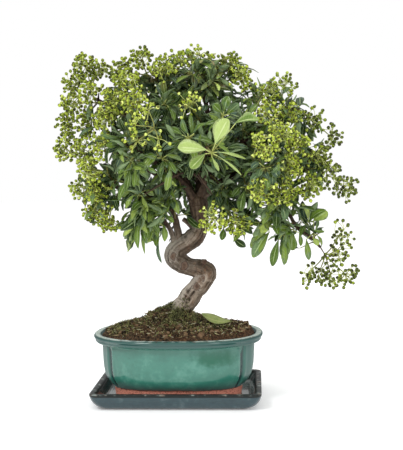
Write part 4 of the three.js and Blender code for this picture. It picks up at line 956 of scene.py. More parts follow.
def oval(rows, turn, seam=None):
    """Rings of a superellipse, x = a cos^(2/n), y = b sin^(2/n) with their signs, for rows (a, b, z, n).

    seam is how far in a ring is pressed at each angle, as a share of its row's fifth number.
    """
    a, b, z, n = (rows[:, k, None] for k in range(4))
    c, s = np.cos(turn)[None], np.sin(turn)[None]
    x = a * np.sign(c) * np.abs(c) ** (2 / n)
    y = b * np.sign(s) * np.abs(s) ** (2 / n)
    if seam is not None:
        k = 1 - rows[:, 4, None] * seam[None] / np.hypot(x, y)
        x, y = x * k, y * k
    return xyz(x, y, z)


def make_saucer(look):
    """The tray: rounded rectangles along its outline, closed at the floor and inside."""
    rows = spline(SAUCER, FINER * len(SAUCER) - 2)
    rings = tray_rings(rows)
    inside = np.repeat(np.arange(len(rows)) > FINER * SAUCER_TOP_ROW, rings.shape[1])
    skin = tubes(rings[None], form=along(rings[None], 0))
    skin.tint = np.concatenate([inside, [0, 1]])
    make("saucer_tray", [skin], [saucer_glaze], look, "saucer_glaze", ["saucer"])


def make_pot(look):
    """The pot: ovals up the outer wall, over the lip, down inside and out through the drain hole.

    A seam is a narrow bell at its angle less a wide low one beside it, so its edges stand proud.
    The outer wall is a little wavy, by smooth noise.
    """
    turn = around(POT_SIDES)
    away = np.abs(np.degrees(np.arccos(np.abs(np.cos(turn)))) - SEAM_AT)
    seam = np.exp(-((away / 1.7) ** 2)) - 0.22 * np.exp(-(((away - 5.0) / 2.2) ** 2))
    rows = spline(POT, FINER * len(POT) - 2)
    rings = oval(rows, turn, seam)
    outer = (np.arange(len(rows)) < FINER * POT_TOP_ROW)[:, None]
    wavy = noise(rings, 22, 3) * 0.25 * np.clip((rows[:, 2, None] - 20) / 10, 0, 1)
    rings = rings + unit(rings * [1, 1, 0]) * (wavy * outer)[..., None]
    mark = np.exp(-((away / 2.9) ** 2))[None] * np.clip(rows[:, 4, None] / 1.4, 0, 1) * outer
    hole = oval(np.array(POT_HOLE), turn)
    mark = np.concatenate([mark, np.zeros((len(hole), POT_SIDES))])
    skin = shut_ring(np.concatenate([rings, hole]), mark.ravel())
    make("pot_body", [skin], [pot_glaze], look, "pot_glaze", ["pot"])


def far_out(x, y, half):
    """From 0 in the middle to 1 on an oval of that half length and width: (|x/a|^n + |y/b|^n)^(1/n)."""
    return (np.abs(x / half[0]) ** SOIL_SQUARE + np.abs(y / half[1]) ** SOIL_SQUARE) ** (1 / SOIL_SQUARE)


def soil_height(x, y):
    """The soil as its solid has it: level at the wall, higher inside, and a mound on the middle line."""
    s = np.minimum(1, far_out(x, y, SOIL_WALL))
    ridge = np.interp(x, SOIL_RIDGE[:, 0], SOIL_RIDGE[:, 1])
    level = SOIL_LEVEL + SOIL_RISE * (1 - s**7)
    return level + np.maximum(0, ridge - MOUND_BASE) * np.exp(-((y / MOUND_DEPTH) ** 2))


def soil_relief(x, y):
    """Small clods, three sizes of noise that fade out at the pot's wall, on slow waves of the surface."""
    p = xyz(x, y)
    clods = 1.9 * noise(p, 9, 5) + 1.5 * noise(p, 4, 6) + 0.8 * noise(p, 1.9, 7)
    s = np.minimum(1, far_out(x, y, SOIL_WALL))
    return clods * np.clip((1 - s) * 9, 0, 1) + bells(x, y, SOIL_WAVES)


def make_soil(look):
    """The filling: rings up its side, then ovals that shrink to the middle at the surface's height."""
    turn = around(256)
    rim = oval(np.array([SOIL_RIM]), turn)
    top = rim * np.linspace(1, 0.02, 96)[1:, None, None]
    top[..., 2] = soil_height(top[..., 0], top[..., 1]) + soil_relief(top[..., 0], top[..., 1])
    rings = np.concatenate([oval(SOIL_SIDE, turn), rim, top])
    make("soil_bed", [tubes(rings[None])], [soil_finish], look, "soil", ["soil"])


def on_soil(rng, count, keep):
    """Random places on the soil, more likely where keep(x, y) is high, and none inside the trunk.

    Eight tries for each place, as many of them are left out.
    """
    x, y = rng.uniform(-88, 88, count * 8), rng.uniform(-67, 67, count * 8)
    clear = np.hypot(x - 1, y) > TRUNK_CLEAR
    pick = (far_out(x, y, SOIL_GROUND) < 1) & clear & (rng.random(len(x)) < keep(x, y))
    x, y = x[pick][:count], y[pick][:count]
    return xyz(x, y, soil_height(x, y) + soil_relief(x, y))


def lumps(at, size, rng, rough):
    """Rough crumbs: six-sided rings at three heights of a sphere, each point pushed in or out at random."""
    n = len(at)
    lat = np.radians([-46, 2, 50])[None, :, None]
    lon = around(6)[None, None, :] + rng.uniform(0, 6, (n, 1, 1))
    r = size[:, None, None] * (1 + rough * rng.uniform(-1, 1, (n, 3, 6)))
    ball = np.stack([r * np.cos(lat) * np.cos(lon), r * np.cos(lat) * np.sin(lon), 0.8 * r * np.sin(lat)], -1)
    tip = size[:, None] * 0.75 * np.array([0, 0, 1])
    return tubes(at[:, None, None] + ball, at - tip, at + tip, tint=rng.random(n))


def spikes(at, way, length, radius, rng, bow):
    """Small tapered bent stalks: two rings of three and a tip, leaning further towards the end.

    The path at t is at + length (t way + bow t^2 lean), lean a random direction across the way.
    """
    n = len(at)
    t = np.array([0, 0.5])[None, :, None]
    lean = across(rng.normal(size=(n, 3)), way)
    path = at[:, None] + length[:, None, None] * (t * way[:, None] + bow * t**2 * lean[:, None])
    rings = rounds(path, radius[:, None] * np.array([1, 0.75])[None], 3)
    end = at + length[:, None] * (way + bow * lean)
    return tubes(rings, at, end, form=along(rings, t), tint=rng.random(n))


def tufts(at, way, rng, long, thick):
    """Moss stalks, their length and radius between the two of long and of thick."""
    n = len(at)
    return spikes(at, way, rng.uniform(*long, n), rng.uniform(*thick, n), rng, 0.6)


def make_ground(look):
    """Crumbs, moss and dry bits lying on the soil."""
    rng = np.random.default_rng(21)
    at = on_soil(rng, CRUMBS, lambda x, y: 0.5 + 0.5 * (noise(xyz(x, y), 14, 9) > 0))
    size = rng.gamma(2.6, 0.55, len(at)).clip(0.5, 3.8)
    at[:, 2] -= size * 0.2
    make("soil_crumbs", [lumps(at, size, rng, 0.4)], [soil_finish], look, "soil")

    def mossy(x, y):
        """Where moss grows, in patches."""
        return np.clip(bells(x, y, MOSSY) * (noise(xyz(x, y), 11, 12) * 0.5 + 0.6) * 1.3, 0, 1)

    at = on_soil(rng, SOIL_TUFTS, mossy)
    at[:, 2] -= 0.5
    n = len(at)
    way = unit(xyz(rng.normal(0, 0.55, n), rng.normal(-0.1, 0.55, n), 1))
    moss = [tufts(at, way, rng, (1.6, 5.2), (0.25, 0.55))]
    # and up the foot of the trunk, thinning out with height
    n = FOOT_TUFTS
    turn = rng.uniform(0, 2 * np.pi, n)
    z = 97 + (21 - 7 * np.cos(turn)) * rng.random(n) ** 1.7
    foot = spline(TRUNK, TRUNK_RINGS)[:FOOT_RINGS]
    x, y, r = (np.interp(z, foot[:, 2], foot[:, k]) for k in (0, 1, 3))
    out = xyz(np.cos(turn), np.sin(turn))
    way = unit(out * 0.8 + 0.5 * rng.normal(size=(n, 3)) + [0, 0, 0.7])
    moss.append(tufts(out * r[:, None] + xyz(x, y, z), way, rng, (1.5, 4.2), (0.25, 0.5)))
    # and on the roots
    for root in ROOTS:
        n = ROOT_TUFTS
        run = spline(root, 101)[(100 * rng.beta(1.6, 1.6, n)).astype(int)]
        out = unit(across(rng.normal(size=(n, 3)) + [0, 0, 1.3], np.array(root[-1][:3]) - root[0][:3]))
        way = unit(out * 0.9 + 0.5 * rng.normal(size=(n, 3)) + [0, 0, 0.5])
        moss.append(tufts(run[:, :3] + out * run[:, 3:], way, rng, (1.8, 4.6), (0.25, 0.5)))
    make("moss", moss, [moss_finish], look, "soil")

    at = on_soil(rng, DRY_BITS, lambda x, y: 0.6)
    at[:, 2] += 1.2
    n = len(at)
    way = unit(xyz(rng.normal(size=n), rng.normal(size=n), rng.normal(0, 0.18, n)))
    bits = spikes(at, way, rng.gamma(2.0, 1.5, n).clip(1.3, 8), rng.uniform(0.3, 0.75, n), rng, 0.25)
    make("dry_bits", [bits], [straw_finish], look, "soil")


# Wood
def bark(rows, sides, deep, seed, out=0.0, scars=()):
    """Closed barky wood round rows (x, y, z, radius), with what its finish reads.

    Long low ridges come from noise that is stretched along the wood, and fine ones from plain
    noise; deep is their height. Each scar is a raised ring round a sunk middle. out is how far
    out from the trunk the wood is, 0 to 1.
    """
    middle = rows[:, :3]
    rings = rounds(middle[None], rows[None, :, 3], sides)
    way = unit(rings - middle[:, None])
    run = np.concatenate([[0], np.cumsum(np.linalg.norm(np.diff(middle, axis=0), axis=1))])
    turn = around(sides)
    # place on the bark as if it were a straight round log, drawn out along it
    flat = np.broadcast_arrays(2.2 * np.cos(turn)[None], 2.2 * np.sin(turn)[None], run[:, None] / 17)
    flat = np.stack(flat, -1)
    ridges = noise(flat, 1.0, seed) + 0.6 * noise(flat * [2.3, 2.3, 2.0], 1.0, seed + 1)
    fine = 0.6 * noise(rings[0], 3.2, seed + 2) + 0.4 * noise(rings[0], 1.5, seed + 3)
    # wrinkles run round the wood, where a slow noise allows them
    allowed = np.clip(noise(rings[0], 24, seed + 6) + 0.45, 0, 1)
    wrinkle = noise(flat * [0.6, 0.6, 7.5], 1.0, seed + 5) * allowed
    streak = noise(flat * [4.6, 4.6, 1.5], 1.0, seed + 10)
    crack = 1 - np.abs(noise(flat * [2.6, 2.6, 1.1], 1.0, seed + 4))
    lift = 0.55 * ridges + 0.6 * streak + 0.9 * fine + 1.1 * wrinkle
    lift = lift - 1.2 * np.clip((crack - 0.9) / 0.1, 0, 1) ** 2
    mark = np.zeros(rings.shape[1:3])
    for x, y, z, r in scars:
        d = np.linalg.norm((rings[0] - [x, y, z]) * [1, 0.6, 0.8], axis=-1) / r
        d = d * (1 + 0.5 * noise(rings[0], 2.8, seed + 7)) + 0.2 * noise(rings[0], 1.2, seed + 8)
        bump = 0.7 * np.exp(-(((d - 1.0) / 0.4) ** 2)) - 0.6 * np.exp(-((d / 0.45) ** 2))
        lift = lift + bump / max(deep, 0.3)
        mark = np.maximum(mark, np.clip(1.45 - d, 0, 1))
    rings = rings + way * (deep * lift)[None, ..., None]
    form = along(rings, out)
    form[..., 1] = mark[None]
    # which way the bark faces the light, for its painted light and shade
    form[..., 2] = 0.5 + 0.5 * (way @ unit(LIGHT_WAY))
    skin = tubes(rings, form=form)
    shown = lift - 0.6 * fine + 0.9 * noise(flat * [2.6, 2.6, 0.8], 1.0, seed + 9)
    skin.tint = np.concatenate([np.clip(0.5 + 0.3 * shown, 0, 1).ravel(), [0.4, 0.4]])
    return skin


def spurs(name, count, rng):
    """Short side twigs of a limb, each a little swollen at its root."""
    at, r = on_limb(name, rng.uniform(0.2, 0.96, count))
    way = unit(rng.normal(size=(count, 3)) + [0, 0, 0.4])
    path = bend(at, way, at + way * rng.uniform(5, 13, (count, 1)) + rng.normal(0, 2, (count, 3)), 5)
    rings = rounds(path, np.minimum(r, 1.5)[:, None] * np.array([1.3, 0.8, 0.6, 0.5, 0.35]), 6)
    return tubes(rings, form=along(rings, 1), tint=rng.uniform(0.3, 0.7, count))


def make_wood(look):
    """Trunk, knob, roots and limbs with their bark, the short spurs on the limbs, and the bare twigs."""
    rng = np.random.default_rng(5)
    trunk = spline(TRUNK, TRUNK_RINGS)
    s = np.linspace(0, len(TRUNK) - 1, TRUNK_RINGS)
    # slow swellings up the trunk
    trunk[:, 3] *= 1 + 0.03 * np.sin(1.7 * s) + 0.02 * np.sin(4.1 * s + 1)
    # the knob ends in a round
    knob = spline(KNOB, 14)
    knob[:, 3] *= 1.12 * np.sqrt(1 - np.linspace(0, 0.94, 14) ** 3)
    skins = [bark(trunk, 84, 0.55, 31, scars=SCARS), bark(knob, 28, 0.9, 41, out=0.85, scars=(KNOB_SCAR,))]
    skins += [bark(spline(root, 40), 28, 0.5, 140 + 5 * i, out=0.6) for i, root in enumerate(ROOTS)]
    for i, (name, (_, _, route)) in enumerate(LIMBS.items()):
        stub = name == "stub"
        t = np.linspace(0, 1, LIMB_RINGS)
        at, r = on_limb(name, t)
        far = t * np.linalg.norm(np.array(route[-1]) - route[0])
        # wider at the fork, uneven along, and narrower at the very end
        r = r * (1 + 0.35 * np.exp(-((far / 9) ** 2))) * (1 + 0.1 * noise(at, 9, 60 + i))
        r = r * np.where(t > 0.985, 0.75, 1)
        out = 0.3 if stub else np.clip((far - 2) / 24, 0, 1)[None, :, None]
        skins.append(bark(np.column_stack([at, r]), 16, 0.3, 70 + 5 * i, out=out))
        skins.append(spurs(name, 2 if stub else 11, rng))
    skins += [bark(spline(route, 24), 8, 0.15, 200 + 5 * i, out=1.0) for i, route in enumerate(BARE_TWIGS)]
    make("trunk_and_limbs", skins, [bark_finish], look, "bark", ["trunk"])


# Leaves
def blades(base, tip, up, width, tint, rng, blunt, stations, loose=1.0):
    """Leaves as closed thin shells.

    Along the way from base to tip, s from 0 to 1, the middle line rises in an arch 4 s (1 - s) and
    bends up or down by s^2.5 and to a side by sin(pi s). The half width is sin(pi s^p)^q, drawn in
    towards the stalk by (1 - s)^3; p, q and that drawing in grow with blunt, 0 for a pointed leaf.
    Across, the blade folds up into a shallow V with a ripple at its edges, and its under face lies a
    little below. loose scales the arch and the bends, and turns them over if negative.
    """
    n = len(base)
    long = np.linalg.norm(tip - base, axis=1)
    u = unit(tip - base)
    w = across(up, u)
    v = np.cross(w, u)
    blunt = np.broadcast_to(blunt, (n,))[:, None]
    s = (0.5 - 0.5 * np.cos(np.pi * np.linspace(0.06, 1, stations + 1)))[None, :-1]
    p, q = 0.92 + 0.62 * blunt, 0.85 - 0.3 * blunt
    half = 0.5 * width[:, None] * np.sin(np.pi * s**p) ** q * (1 - 0.7 * blunt * (1 - s) ** 3)
    reach = loose * long[:, None]
    arch = reach * rng.uniform(0.02, 0.13, (n, 1)) * 4 * s * (1 - s)
    curl = reach * rng.uniform(-0.16, 0.03, (n, 1)) * s**2.5
    side = reach * rng.uniform(-0.07, 0.07, (n, 1)) * np.sin(np.pi * s)
    mid = (base[:, None] + u[:, None] * (s * long[:, None])[..., None] + w[:, None] * (arch + curl)[..., None]
           + v[:, None] * side[..., None])
    half, s = half[..., None], s[..., None]
    out = np.abs(BLADE_ACROSS)
    fold = rng.uniform(0.12, 0.55, (n, 1, 1)) * out * half
    ripple = 9 * s + 2.5 * np.sign(BLADE_ACROSS) + rng.uniform(0, 6, (n, 1, 1))
    lift = fold + 0.1 * half * out**2 * np.sin(ripple) - np.where(BLADE_FACE > 0.4, 0, BLADE_THICK)
    rings = (mid[:, :, None] + v[:, None, None] * (half * BLADE_ACROSS)[..., None]
             + w[:, None, None] * lift[..., None])
    form = np.stack(np.broadcast_arrays(s + 0 * half, BLADE_ACROSS, BLADE_FACE), -1)
    return tubes(rings, base, tip + w * curl[:, -1:], form=form, tint=tint)


def stems(starts, ways, ends, thick, thin, count, sides, low=0.0, high=1.0, finish=1):
    """Thin bowed stalks from starts, where they are thick, to ends; low and high are their along values."""
    path = bend(starts, ways, ends, count)
    rings = rounds(path, np.linspace(thick, thin, count)[None] * np.ones((len(path), 1)), sides)
    return tubes(rings, form=along(rings, np.linspace(low, high, count)[None, :, None]), finish=finish)


def open_places(x, y, z):
    """Where a leaf's tip may lie: inside the crown's ellipse, and in none of the boxes kept clear."""
    mid, wide, high, mid_y, deep = CROWN_REACH
    free = ((x - mid) / wide) ** 2 + (np.maximum(0, z - CROWN[2]) / high) ** 2 < 1
    free &= np.abs(y - mid_y) < deep
    for left, right, low, top, front in KEEP_CLEAR:
        free &= (x < left) | (x > right) | (z < low) | (z > top) | (y > front)
    return free


def sprigs(starts, ways, lengths, leaves, size, light, rng, wider=1.0, blunt=0.0):
    """Side twigs with leaves spiralling up them: their blades, the twigs and the leaves' stalks.

    Leaf j leaves at (j + 1) / leaves of the twig, turned 137.5 degrees from the last one, leaning
    forward along the twig and then down; the last goes on from the end.
    """
    n = len(starts)
    ways = unit(ways)
    ends = starts + ways * lengths[:, None] + [0, 0, -1] * (0.12 * lengths[:, None])
    ways = ways + [0, 0, 0.3]
    path = bend(starts, ways, ends, leaves + 1)
    at = path[:, 1:].reshape(-1, 3)
    way = unit(np.gradient(path, axis=1))[:, 1:].reshape(-1, 3)
    e = across(np.array([0.3, 0.2, 1.0]) + 0 * way, way)
    f = np.cross(way, e)
    j = np.tile(np.arange(leaves), n)
    turn = (LEAF_TURN * j + np.repeat(rng.uniform(0, 6.28, n), leaves))[:, None]
    forward = np.where(j == leaves - 1, 2.0, rng.uniform(0.35, 1.0, len(j)))[:, None]
    lean = unit(e * np.cos(turn) + f * np.sin(turn) + forward * way + [0, 0, -0.15])
    long = size * rng.uniform(0.6, 1.15, len(j))
    up = unit([0, -0.15, 1.0] + 0.5 * rng.normal(size=(len(j), 3)) + 0.25 * unit(at - CROWN))
    # a few show their under face
    up = up * np.where(rng.random(len(j)) < 0.17, -1, 1)[:, None]
    base = at + lean * 1.6
    free = open_places(*(base + lean * long[:, None]).T)
    # each twig ends at its last leaf
    last = (free.reshape(n, leaves) * np.arange(1, leaves + 1)).max(1)
    kept = last > 0
    twig = stems(starts[kept], ways[kept], path[kept, last[kept]], 0.75, 0.45, 5, 5, high=0.5)
    light = np.repeat(np.broadcast_to(light, (n,)), leaves)
    at, lean, long, up, base, light = (v[free] for v in (at, lean, long, up, base, light))
    n = len(at)
    tint = np.clip(light + 0.05 + rng.normal(0, 0.24, n), 0.02, 1)
    width = wider * long * rng.uniform(0.27, 0.42, n)
    blunt = np.maximum(blunt, rng.uniform(0, 0.8, n))
    blade = blades(base, base + lean * long[:, None], up, width, tint, rng, blunt, 5)
    stalk = stems(at, lean, base + lean * 0.6, 0.45, 0.35, 2, 3, low=0.5, high=0.8)
    return [blade, twig, stalk]


def make_leaves(look):
    """Each leafy shoot: its own leaves found again in the frame, and side twigs with more."""
    for i, (name, (limb, t, end, light)) in enumerate(SHOOTS.items()):
        rng = np.random.default_rng(300 + i)
        node, end = "leaves_" + name, np.array(end, float)
        base, tip, up, width, broad = solid_leaves(node)
        young, large, hanging = name == YOUNG_SHOOT, name.startswith("low_right"), name in LONG_LEAVES
        # these turn their upper face to the front
        if hanging:
            up = unit(up) + [0, -0.7, 0]
        if large:
            up, width, broad = unit(up) + [0, -0.4, 0], 1.12 * width, np.maximum(broad, 1.0)
        tint = np.clip(light + 0.08 + rng.normal(0, 0.15, len(base)), 0.02, 1)
        if young:
            wider, tint, shift = YOUNG[np.argsort(np.argsort(tip[:, 0]))].T
            width, tip = width * wider, tip + shift[:, None] * [1, 0, 0]
        skins = [blades(base, tip, up, width, tint, rng, 0.35 + 0.5 * np.maximum(broad, young * 1.2), 11,
                        0.4 if young else 1.0)]
        root, _ = on_limb(limb, t)
        way = unit(end - root)
        skins.append(stems(root, way, end, 1.25, 0.9, 14, 7, low=-0.1, high=0.5))
        foot = base + 0.06 * (tip - base)
        skins.append(stems(end + 0 * base, base - end, foot, 0.7, 0.45, 5, 4, low=0.4, high=0.9))
        if not young:
            n = FEW_TWIGS.get(name, look.side_twigs)
            mean = unit((tip - end).mean(0) + 0.4 * (end - CROWN) / 100)
            ways = unit(0.9 * mean + 0.75 * rng.normal(size=(n, 3)))
            starts = bend(root, way, end, 41)[0][(rng.uniform(0.4, 1.0, n) * 40).astype(int)]
            size = 30 if large else 29 if hanging else 24
            skins += sprigs(starts, ways, rng.uniform(8, 20, n), 5, size, light, rng, 1.4 if large else 1.0,
                            0.7 if large else 0.0)
        finishes = [leaf_young if young else leaf_green, stalk_finish]
        make("shoot_" + name, skins, finishes, look, "pale_leaf" if young else "leaves", [node])


def make_inner_leaves(look):
    """Short leafy side twigs all along the limbs, which fill the crown."""
    rng = np.random.default_rng(77)
    for side, names in INNER_GROUPS.items():
        skins = []
        for name in names:
            n = int(look.inner_twigs * INNER_SHARE.get(name, 1.0))
            at, _ = on_limb(name, rng.uniform(0.25, 0.97, n))
            way = unit(rng.normal(size=(n, 3)) + 0.5 * unit(at - CROWN) + [0, -0.2, 0.25])
            skins += sprigs(at, way, rng.uniform(11, 36, n), 6, 26, 0.14, rng)
        if side == "middle":
            at = np.concatenate([on_limb(limb, [t])[0] for limb, t, *_ in GAP_TWIGS])
            way, long, light = (np.array([g[k] for g in GAP_TWIGS], float) for k in (2, 3, 4))
            skins += sprigs(at, way, long, 7, 26, light, rng)
        make("inner_leaves_" + side, skins, [leaf_green, stalk_finish], look, "leaves")


def make_fallen(look):
    """The dropped leaf, as wide as its solid and a little more, bowed down at both ends."""
    rng = np.random.default_rng(9)
    _, _, up, width, _ = solid_leaves("fallen_leaf")
    k = int(np.argmax(width))
    up, width = up[k : k + 1] + [0, -0.25, 0], width[k : k + 1] * 1.15
    base, tip = DROPPED_BASE, DROPPED_TIP
    skin = blades(base, tip, up, width, np.array([0.6]), rng, 0.3, 16, loose=-1.6)
    stalk = stems(base, base - tip, base - unit(tip - base) * 3, 0.45, 0.3, 3, 4, finish=0)
    make("dropped_leaf", [skin, stalk], [leaf_dropped], look, "pale_leaf", ["fallen_leaf"])


# Berries
def berries(at, way, radius, tint):
    """Round berries with a small raised crown: rings along each berry's own axis, by its outline."""
    e = across(np.array([0.31, 0.62, 0.72]) + 0 * way, way)
    f = np.cross(way, e)
    turn = around(BERRY_SIDES)[:, None]
    z, r, s = (BERRY_ROWS[:, k, None, None] for k in range(3))
    ring = e[:, None, None] * np.cos(turn) + f[:, None, None] * np.sin(turn)
    rings = at[:, None, None] + radius[:, None, None, None] * (z * way[:, None, None] + r * ring)
    low, high = at - way * radius[:, None] * 0.95, at + way * radius[:, None] * 0.8
    return tubes(rings, low, high, form=along(rings, s[:, :, 0]), tint=tint)


def cluster(knot, out, own, count, rng, taken, spread):
    """Places for more berries round a knot, mostly on its outer side, none too near another.

    A place is a random way from the knot times spread * u^0.5, u from 0.14 to 1; there are twelve
    tries for each.
    """
    n = count * 12
    way = unit(rng.normal(size=(n, 3)))
    far = spread * rng.uniform(0.14, 1, n) ** 0.5
    lean = (way * out).sum(1)
    ok = (lean > -0.75) & (rng.random(n) < 0.55 + 0.45 * lean)
    picked = []
    for p in (knot + way * far[:, None])[ok]:
        near = np.concatenate([own, taken, np.array(picked).reshape(-1, 3)])
        if np.min(np.linalg.norm(near - p, axis=1), initial=99) > BERRY_GAP:
            picked.append(p)
        if len(picked) == count:
            break
    return np.array(picked).reshape(-1, 3)


def nearest(points, others):
    """For each point, which of the others is nearest."""
    return np.argmin(np.linalg.norm(points[:, None] - others[None], axis=2), axis=1)


def make_berries(look):
    """Each bunch: its own berries found again in the frame, more between them, and all the stalks."""
    solid = {name: solid_berries(name) for name in BUNCHES}
    taken = np.concatenate([at for at, _ in solid.values()])
    for i, (name, (limb, t, knots)) in enumerate(BUNCHES.items()):
        rng = np.random.default_rng(500 + i)
        knots = np.array(knots, float)
        at, way = solid[name]
        count = int(look.more_berries * BERRY_SHARE.get(name, 1.0))
        root, _ = on_limb(limb, t)
        middle = knots.mean(0)
        fork = np.array(FORKS.get(name, root + (middle - root) * (0.45 if len(knots) > 1 else 0.7)))
        thick = 0.65 if name == THIN_BUNCH else 1.0
        skins = [stems(root, middle - root, fork, 1.2 * thick, 0.95 * thick, 10, 7, low=-0.1, high=0.25),
                 stems(fork + 0 * knots, knots - root, knots, 0.85, 0.6, 12, 5, low=0.25, high=0.5)]
        owner = nearest(at, knots)
        places, ways, owners = [at], [way], [owner]
        for k, knot in enumerate(knots):
            out = unit(knot - CROWN + 0.6 * (knot - fork))
            more = cluster(knot, out, at, count, rng, taken, BERRY_SPREAD.get(name, USUAL_SPREAD))
            taken = np.concatenate([taken, more])
            places.append(more)
            ways.append(unit(unit(more - knot + 2.5 * out) + 0.3 * rng.normal(size=more.shape)))
            owners.append(np.full(len(more), k))
        at, way, owner = np.concatenate(places), np.concatenate(ways), np.concatenate(owners)
        n = len(at)
        radius = look.berry_size / MM / 2 * rng.uniform(0.9, 1.1, n)
        # painted shade: darker towards the crown's edge, most of all at the right, away from the light, and
        # in the middle of a cluster
        x, _, z = (at - CROWN).T
        dark = np.clip((np.hypot(x, z * 1.1) - 85) / 75, 0, 1) * np.where(x > 0, 0.86, 0.48)
        inner = np.clip(1.7 - np.linalg.norm(at - knots[owner], axis=1) / 9, 0, 1)
        light = BERRY_LIGHT.get(name, USUAL_LIGHT) - dark - 0.32 * inner + 0.23 * rng.normal(size=n)
        skins.append(berries(at, way, radius, np.clip(light, 0, 1)))
        # rays leave the knot, and each berry's stalk leaves the ray whose end is nearest
        joint = np.empty_like(at)
        for k, knot in enumerate(knots):
            mine = np.flatnonzero(owner == k)
            seeds = at[mine[:: max(1, len(mine) // 9)]]
            ends = knot + 0.5 * (seeds - knot) + rng.normal(0, 0.7, seeds.shape)
            joint[mine] = ends[nearest(at[mine], ends)]
            skins.append(stems(knot + 0 * ends, ends - knot, ends, 0.6, 0.42, 4, 4, low=0.45, high=0.7))
        foot = at - way * radius[:, None] * 0.9
        skins.append(stems(joint, joint - knots[owner] + 0.6 * (at - joint), foot, 0.4, 0.33, 3, 3, low=0.7))
        # leafy twigs behind the clusters, towards the tree's middle plane
        n = 1 if name == THIN_BUNCH else look.bunch_twigs
        starts = bend(root, middle - root, fork, 21)[0][rng.integers(8, 21, n)]
        inward = (CROWN - middle) * [0, 1, 0] / 50
        ways = unit(unit(middle - root) * 0.8 + 0.7 * rng.normal(size=(n, 3)) + inward)
        leafy = sprigs(starts, ways, rng.uniform(7, 20, n), 5, 19, 0.3, rng)
        # their blades take the third finish
        leafy[0].finish[:] = 2
        make("bunch_" + name, skins + leafy, [berry_finish, stalk_finish, leaf_green], look, "berries",
             ["berries_" + name])


# Stage
def surroundings(look):
    """A white room: it lights from above, less from the sides, and shows plain white behind the object."""
    world = bpy.data.worlds.new("surroundings")
    world.use_nodes = True
    nodes, links = world.node_tree.nodes, world.node_tree.links
    back = nodes["Background"]
    way = nodes.new("ShaderNodeSeparateXYZ")
    links.new(nodes.new("ShaderNodeTexCoord").outputs["Generated"], way.inputs[0])
    bright = nodes.new("ShaderNodeMapRange")
    for key, value in {1: 0.0, 2: 1.0, 3: look.sides, 4: look.overhead}.items():
        bright.inputs[key].default_value = value
    links.new(way.outputs["Z"], bright.inputs[0])
    seen = nodes.new("ShaderNodeMix")
    seen.inputs["B"].default_value = 1.0
    links.new(nodes.new("ShaderNodeLightPath").outputs["Is Camera Ray"], seen.inputs["Factor"])
    links.new(bright.outputs[0], seen.inputs["A"])
    links.new(seen.outputs[0], back.inputs["Strength"])
    back.inputs["Color"].default_value = (1, 1, 1, 1)
    return world


def placed(name, data, at, right, up, back):
    """A lamp or camera at a place in metres, its own axes along right, up and back."""
    turn = np.eye(4)
    turn[:3] = np.stack([right, up, back, at], 1)
    thing = bpy.data.objects.new(name, data)
    thing.matrix_world = Matrix(turn.tolist())
    bpy.context.scene.collection.objects.link(thing)
    return thing


def make_stage(look):
    """Pale floor, white surroundings, soft lights and the camera."""
    n = FLOOR_SQUARES + 1
    grid = np.linspace(-FLOOR_HALF, FLOOR_HALF, n)
    points = xyz(*np.meshgrid(grid, grid, indexing="ij"), -FLOOR_DROP).reshape(-1, 3)
    i, j = np.meshgrid(np.arange(n - 1), np.arange(n - 1), indexing="ij")
    quad = np.stack([i * n + j, (i + 1) * n + j, (i + 1) * n + j + 1, i * n + j + 1], -1).reshape(-1, 4)
    make("floor", [Skin(points, quad, np.zeros((0, 3), int))], [floor_finish], look)
    scene = bpy.context.scene
    scene.view_settings.view_transform = "Standard"
    scene.world = surroundings(look)
    for name, (place, size, share) in LAMPS.items():
        lamp = bpy.data.lights.new(name, "AREA")
        lamp.shape, lamp.size, lamp.energy = "DISK", size, look.key * share
        back = unit(np.array(place) - LIT_POINT)
        right = unit(np.cross([0, 1, 0.01], back))
        placed(name, lamp, place, right, np.cross(back, right), back)
    yaw, pitch, roll = (math.radians(a) for a in (CAMERA_YAW, CAMERA_PITCH, CAMERA_ROLL))
    front = np.array([-math.sin(yaw) * math.cos(pitch), math.cos(yaw) * math.cos(pitch), -math.sin(pitch)])
    right = np.array([math.cos(yaw), math.sin(yaw), 0])
    up = np.cross(right, front)
    right, up = right * math.cos(roll) + up * math.sin(roll), up * math.cos(roll) - right * math.sin(roll)
    camera = bpy.data.cameras.new("camera")
    camera.sensor_width, camera.lens = SENSOR, FOCAL_PX * SENSOR / FRAME_HIGH
    camera.clip_start, camera.clip_end = 0.05, 50
    scene.camera = placed("camera", camera, np.array(CAMERA_AT) * MM, right, up, -front)


# The add-on
def colour(name, description, default):
    """A colour setting, its default in screen numbers."""
    return FloatVectorProperty(name=name, description=description, default=rgb(*default), subtype="COLOR",
                               size=4, min=0, max=1)


def amount(name, description, default, lowest, highest):
    """A whole number setting."""
    return IntProperty(name=name, description=description, default=default, min=lowest, max=highest)


class BonsaiPotLook(bpy.types.PropertyGroup):
    """Colours of the pot, saucer and soil."""

    glaze: colour("Glaze", "Teal glaze of the pot's walls", (58, 121, 105))
    dark: colour("Seams", "Glaze where it runs thin in the seams", (18, 36, 42))
    clay: colour("Clay", "Bare clay of the foot", (232, 148, 126))
    saucer: colour("Saucer", "Glaze of the saucer's outside", (46, 68, 74))
    soil: colour("Soil", "Damp soil", (70, 56, 43))
    moss: colour("Moss", "Moss at the foot of the trunk", (84, 84, 52))


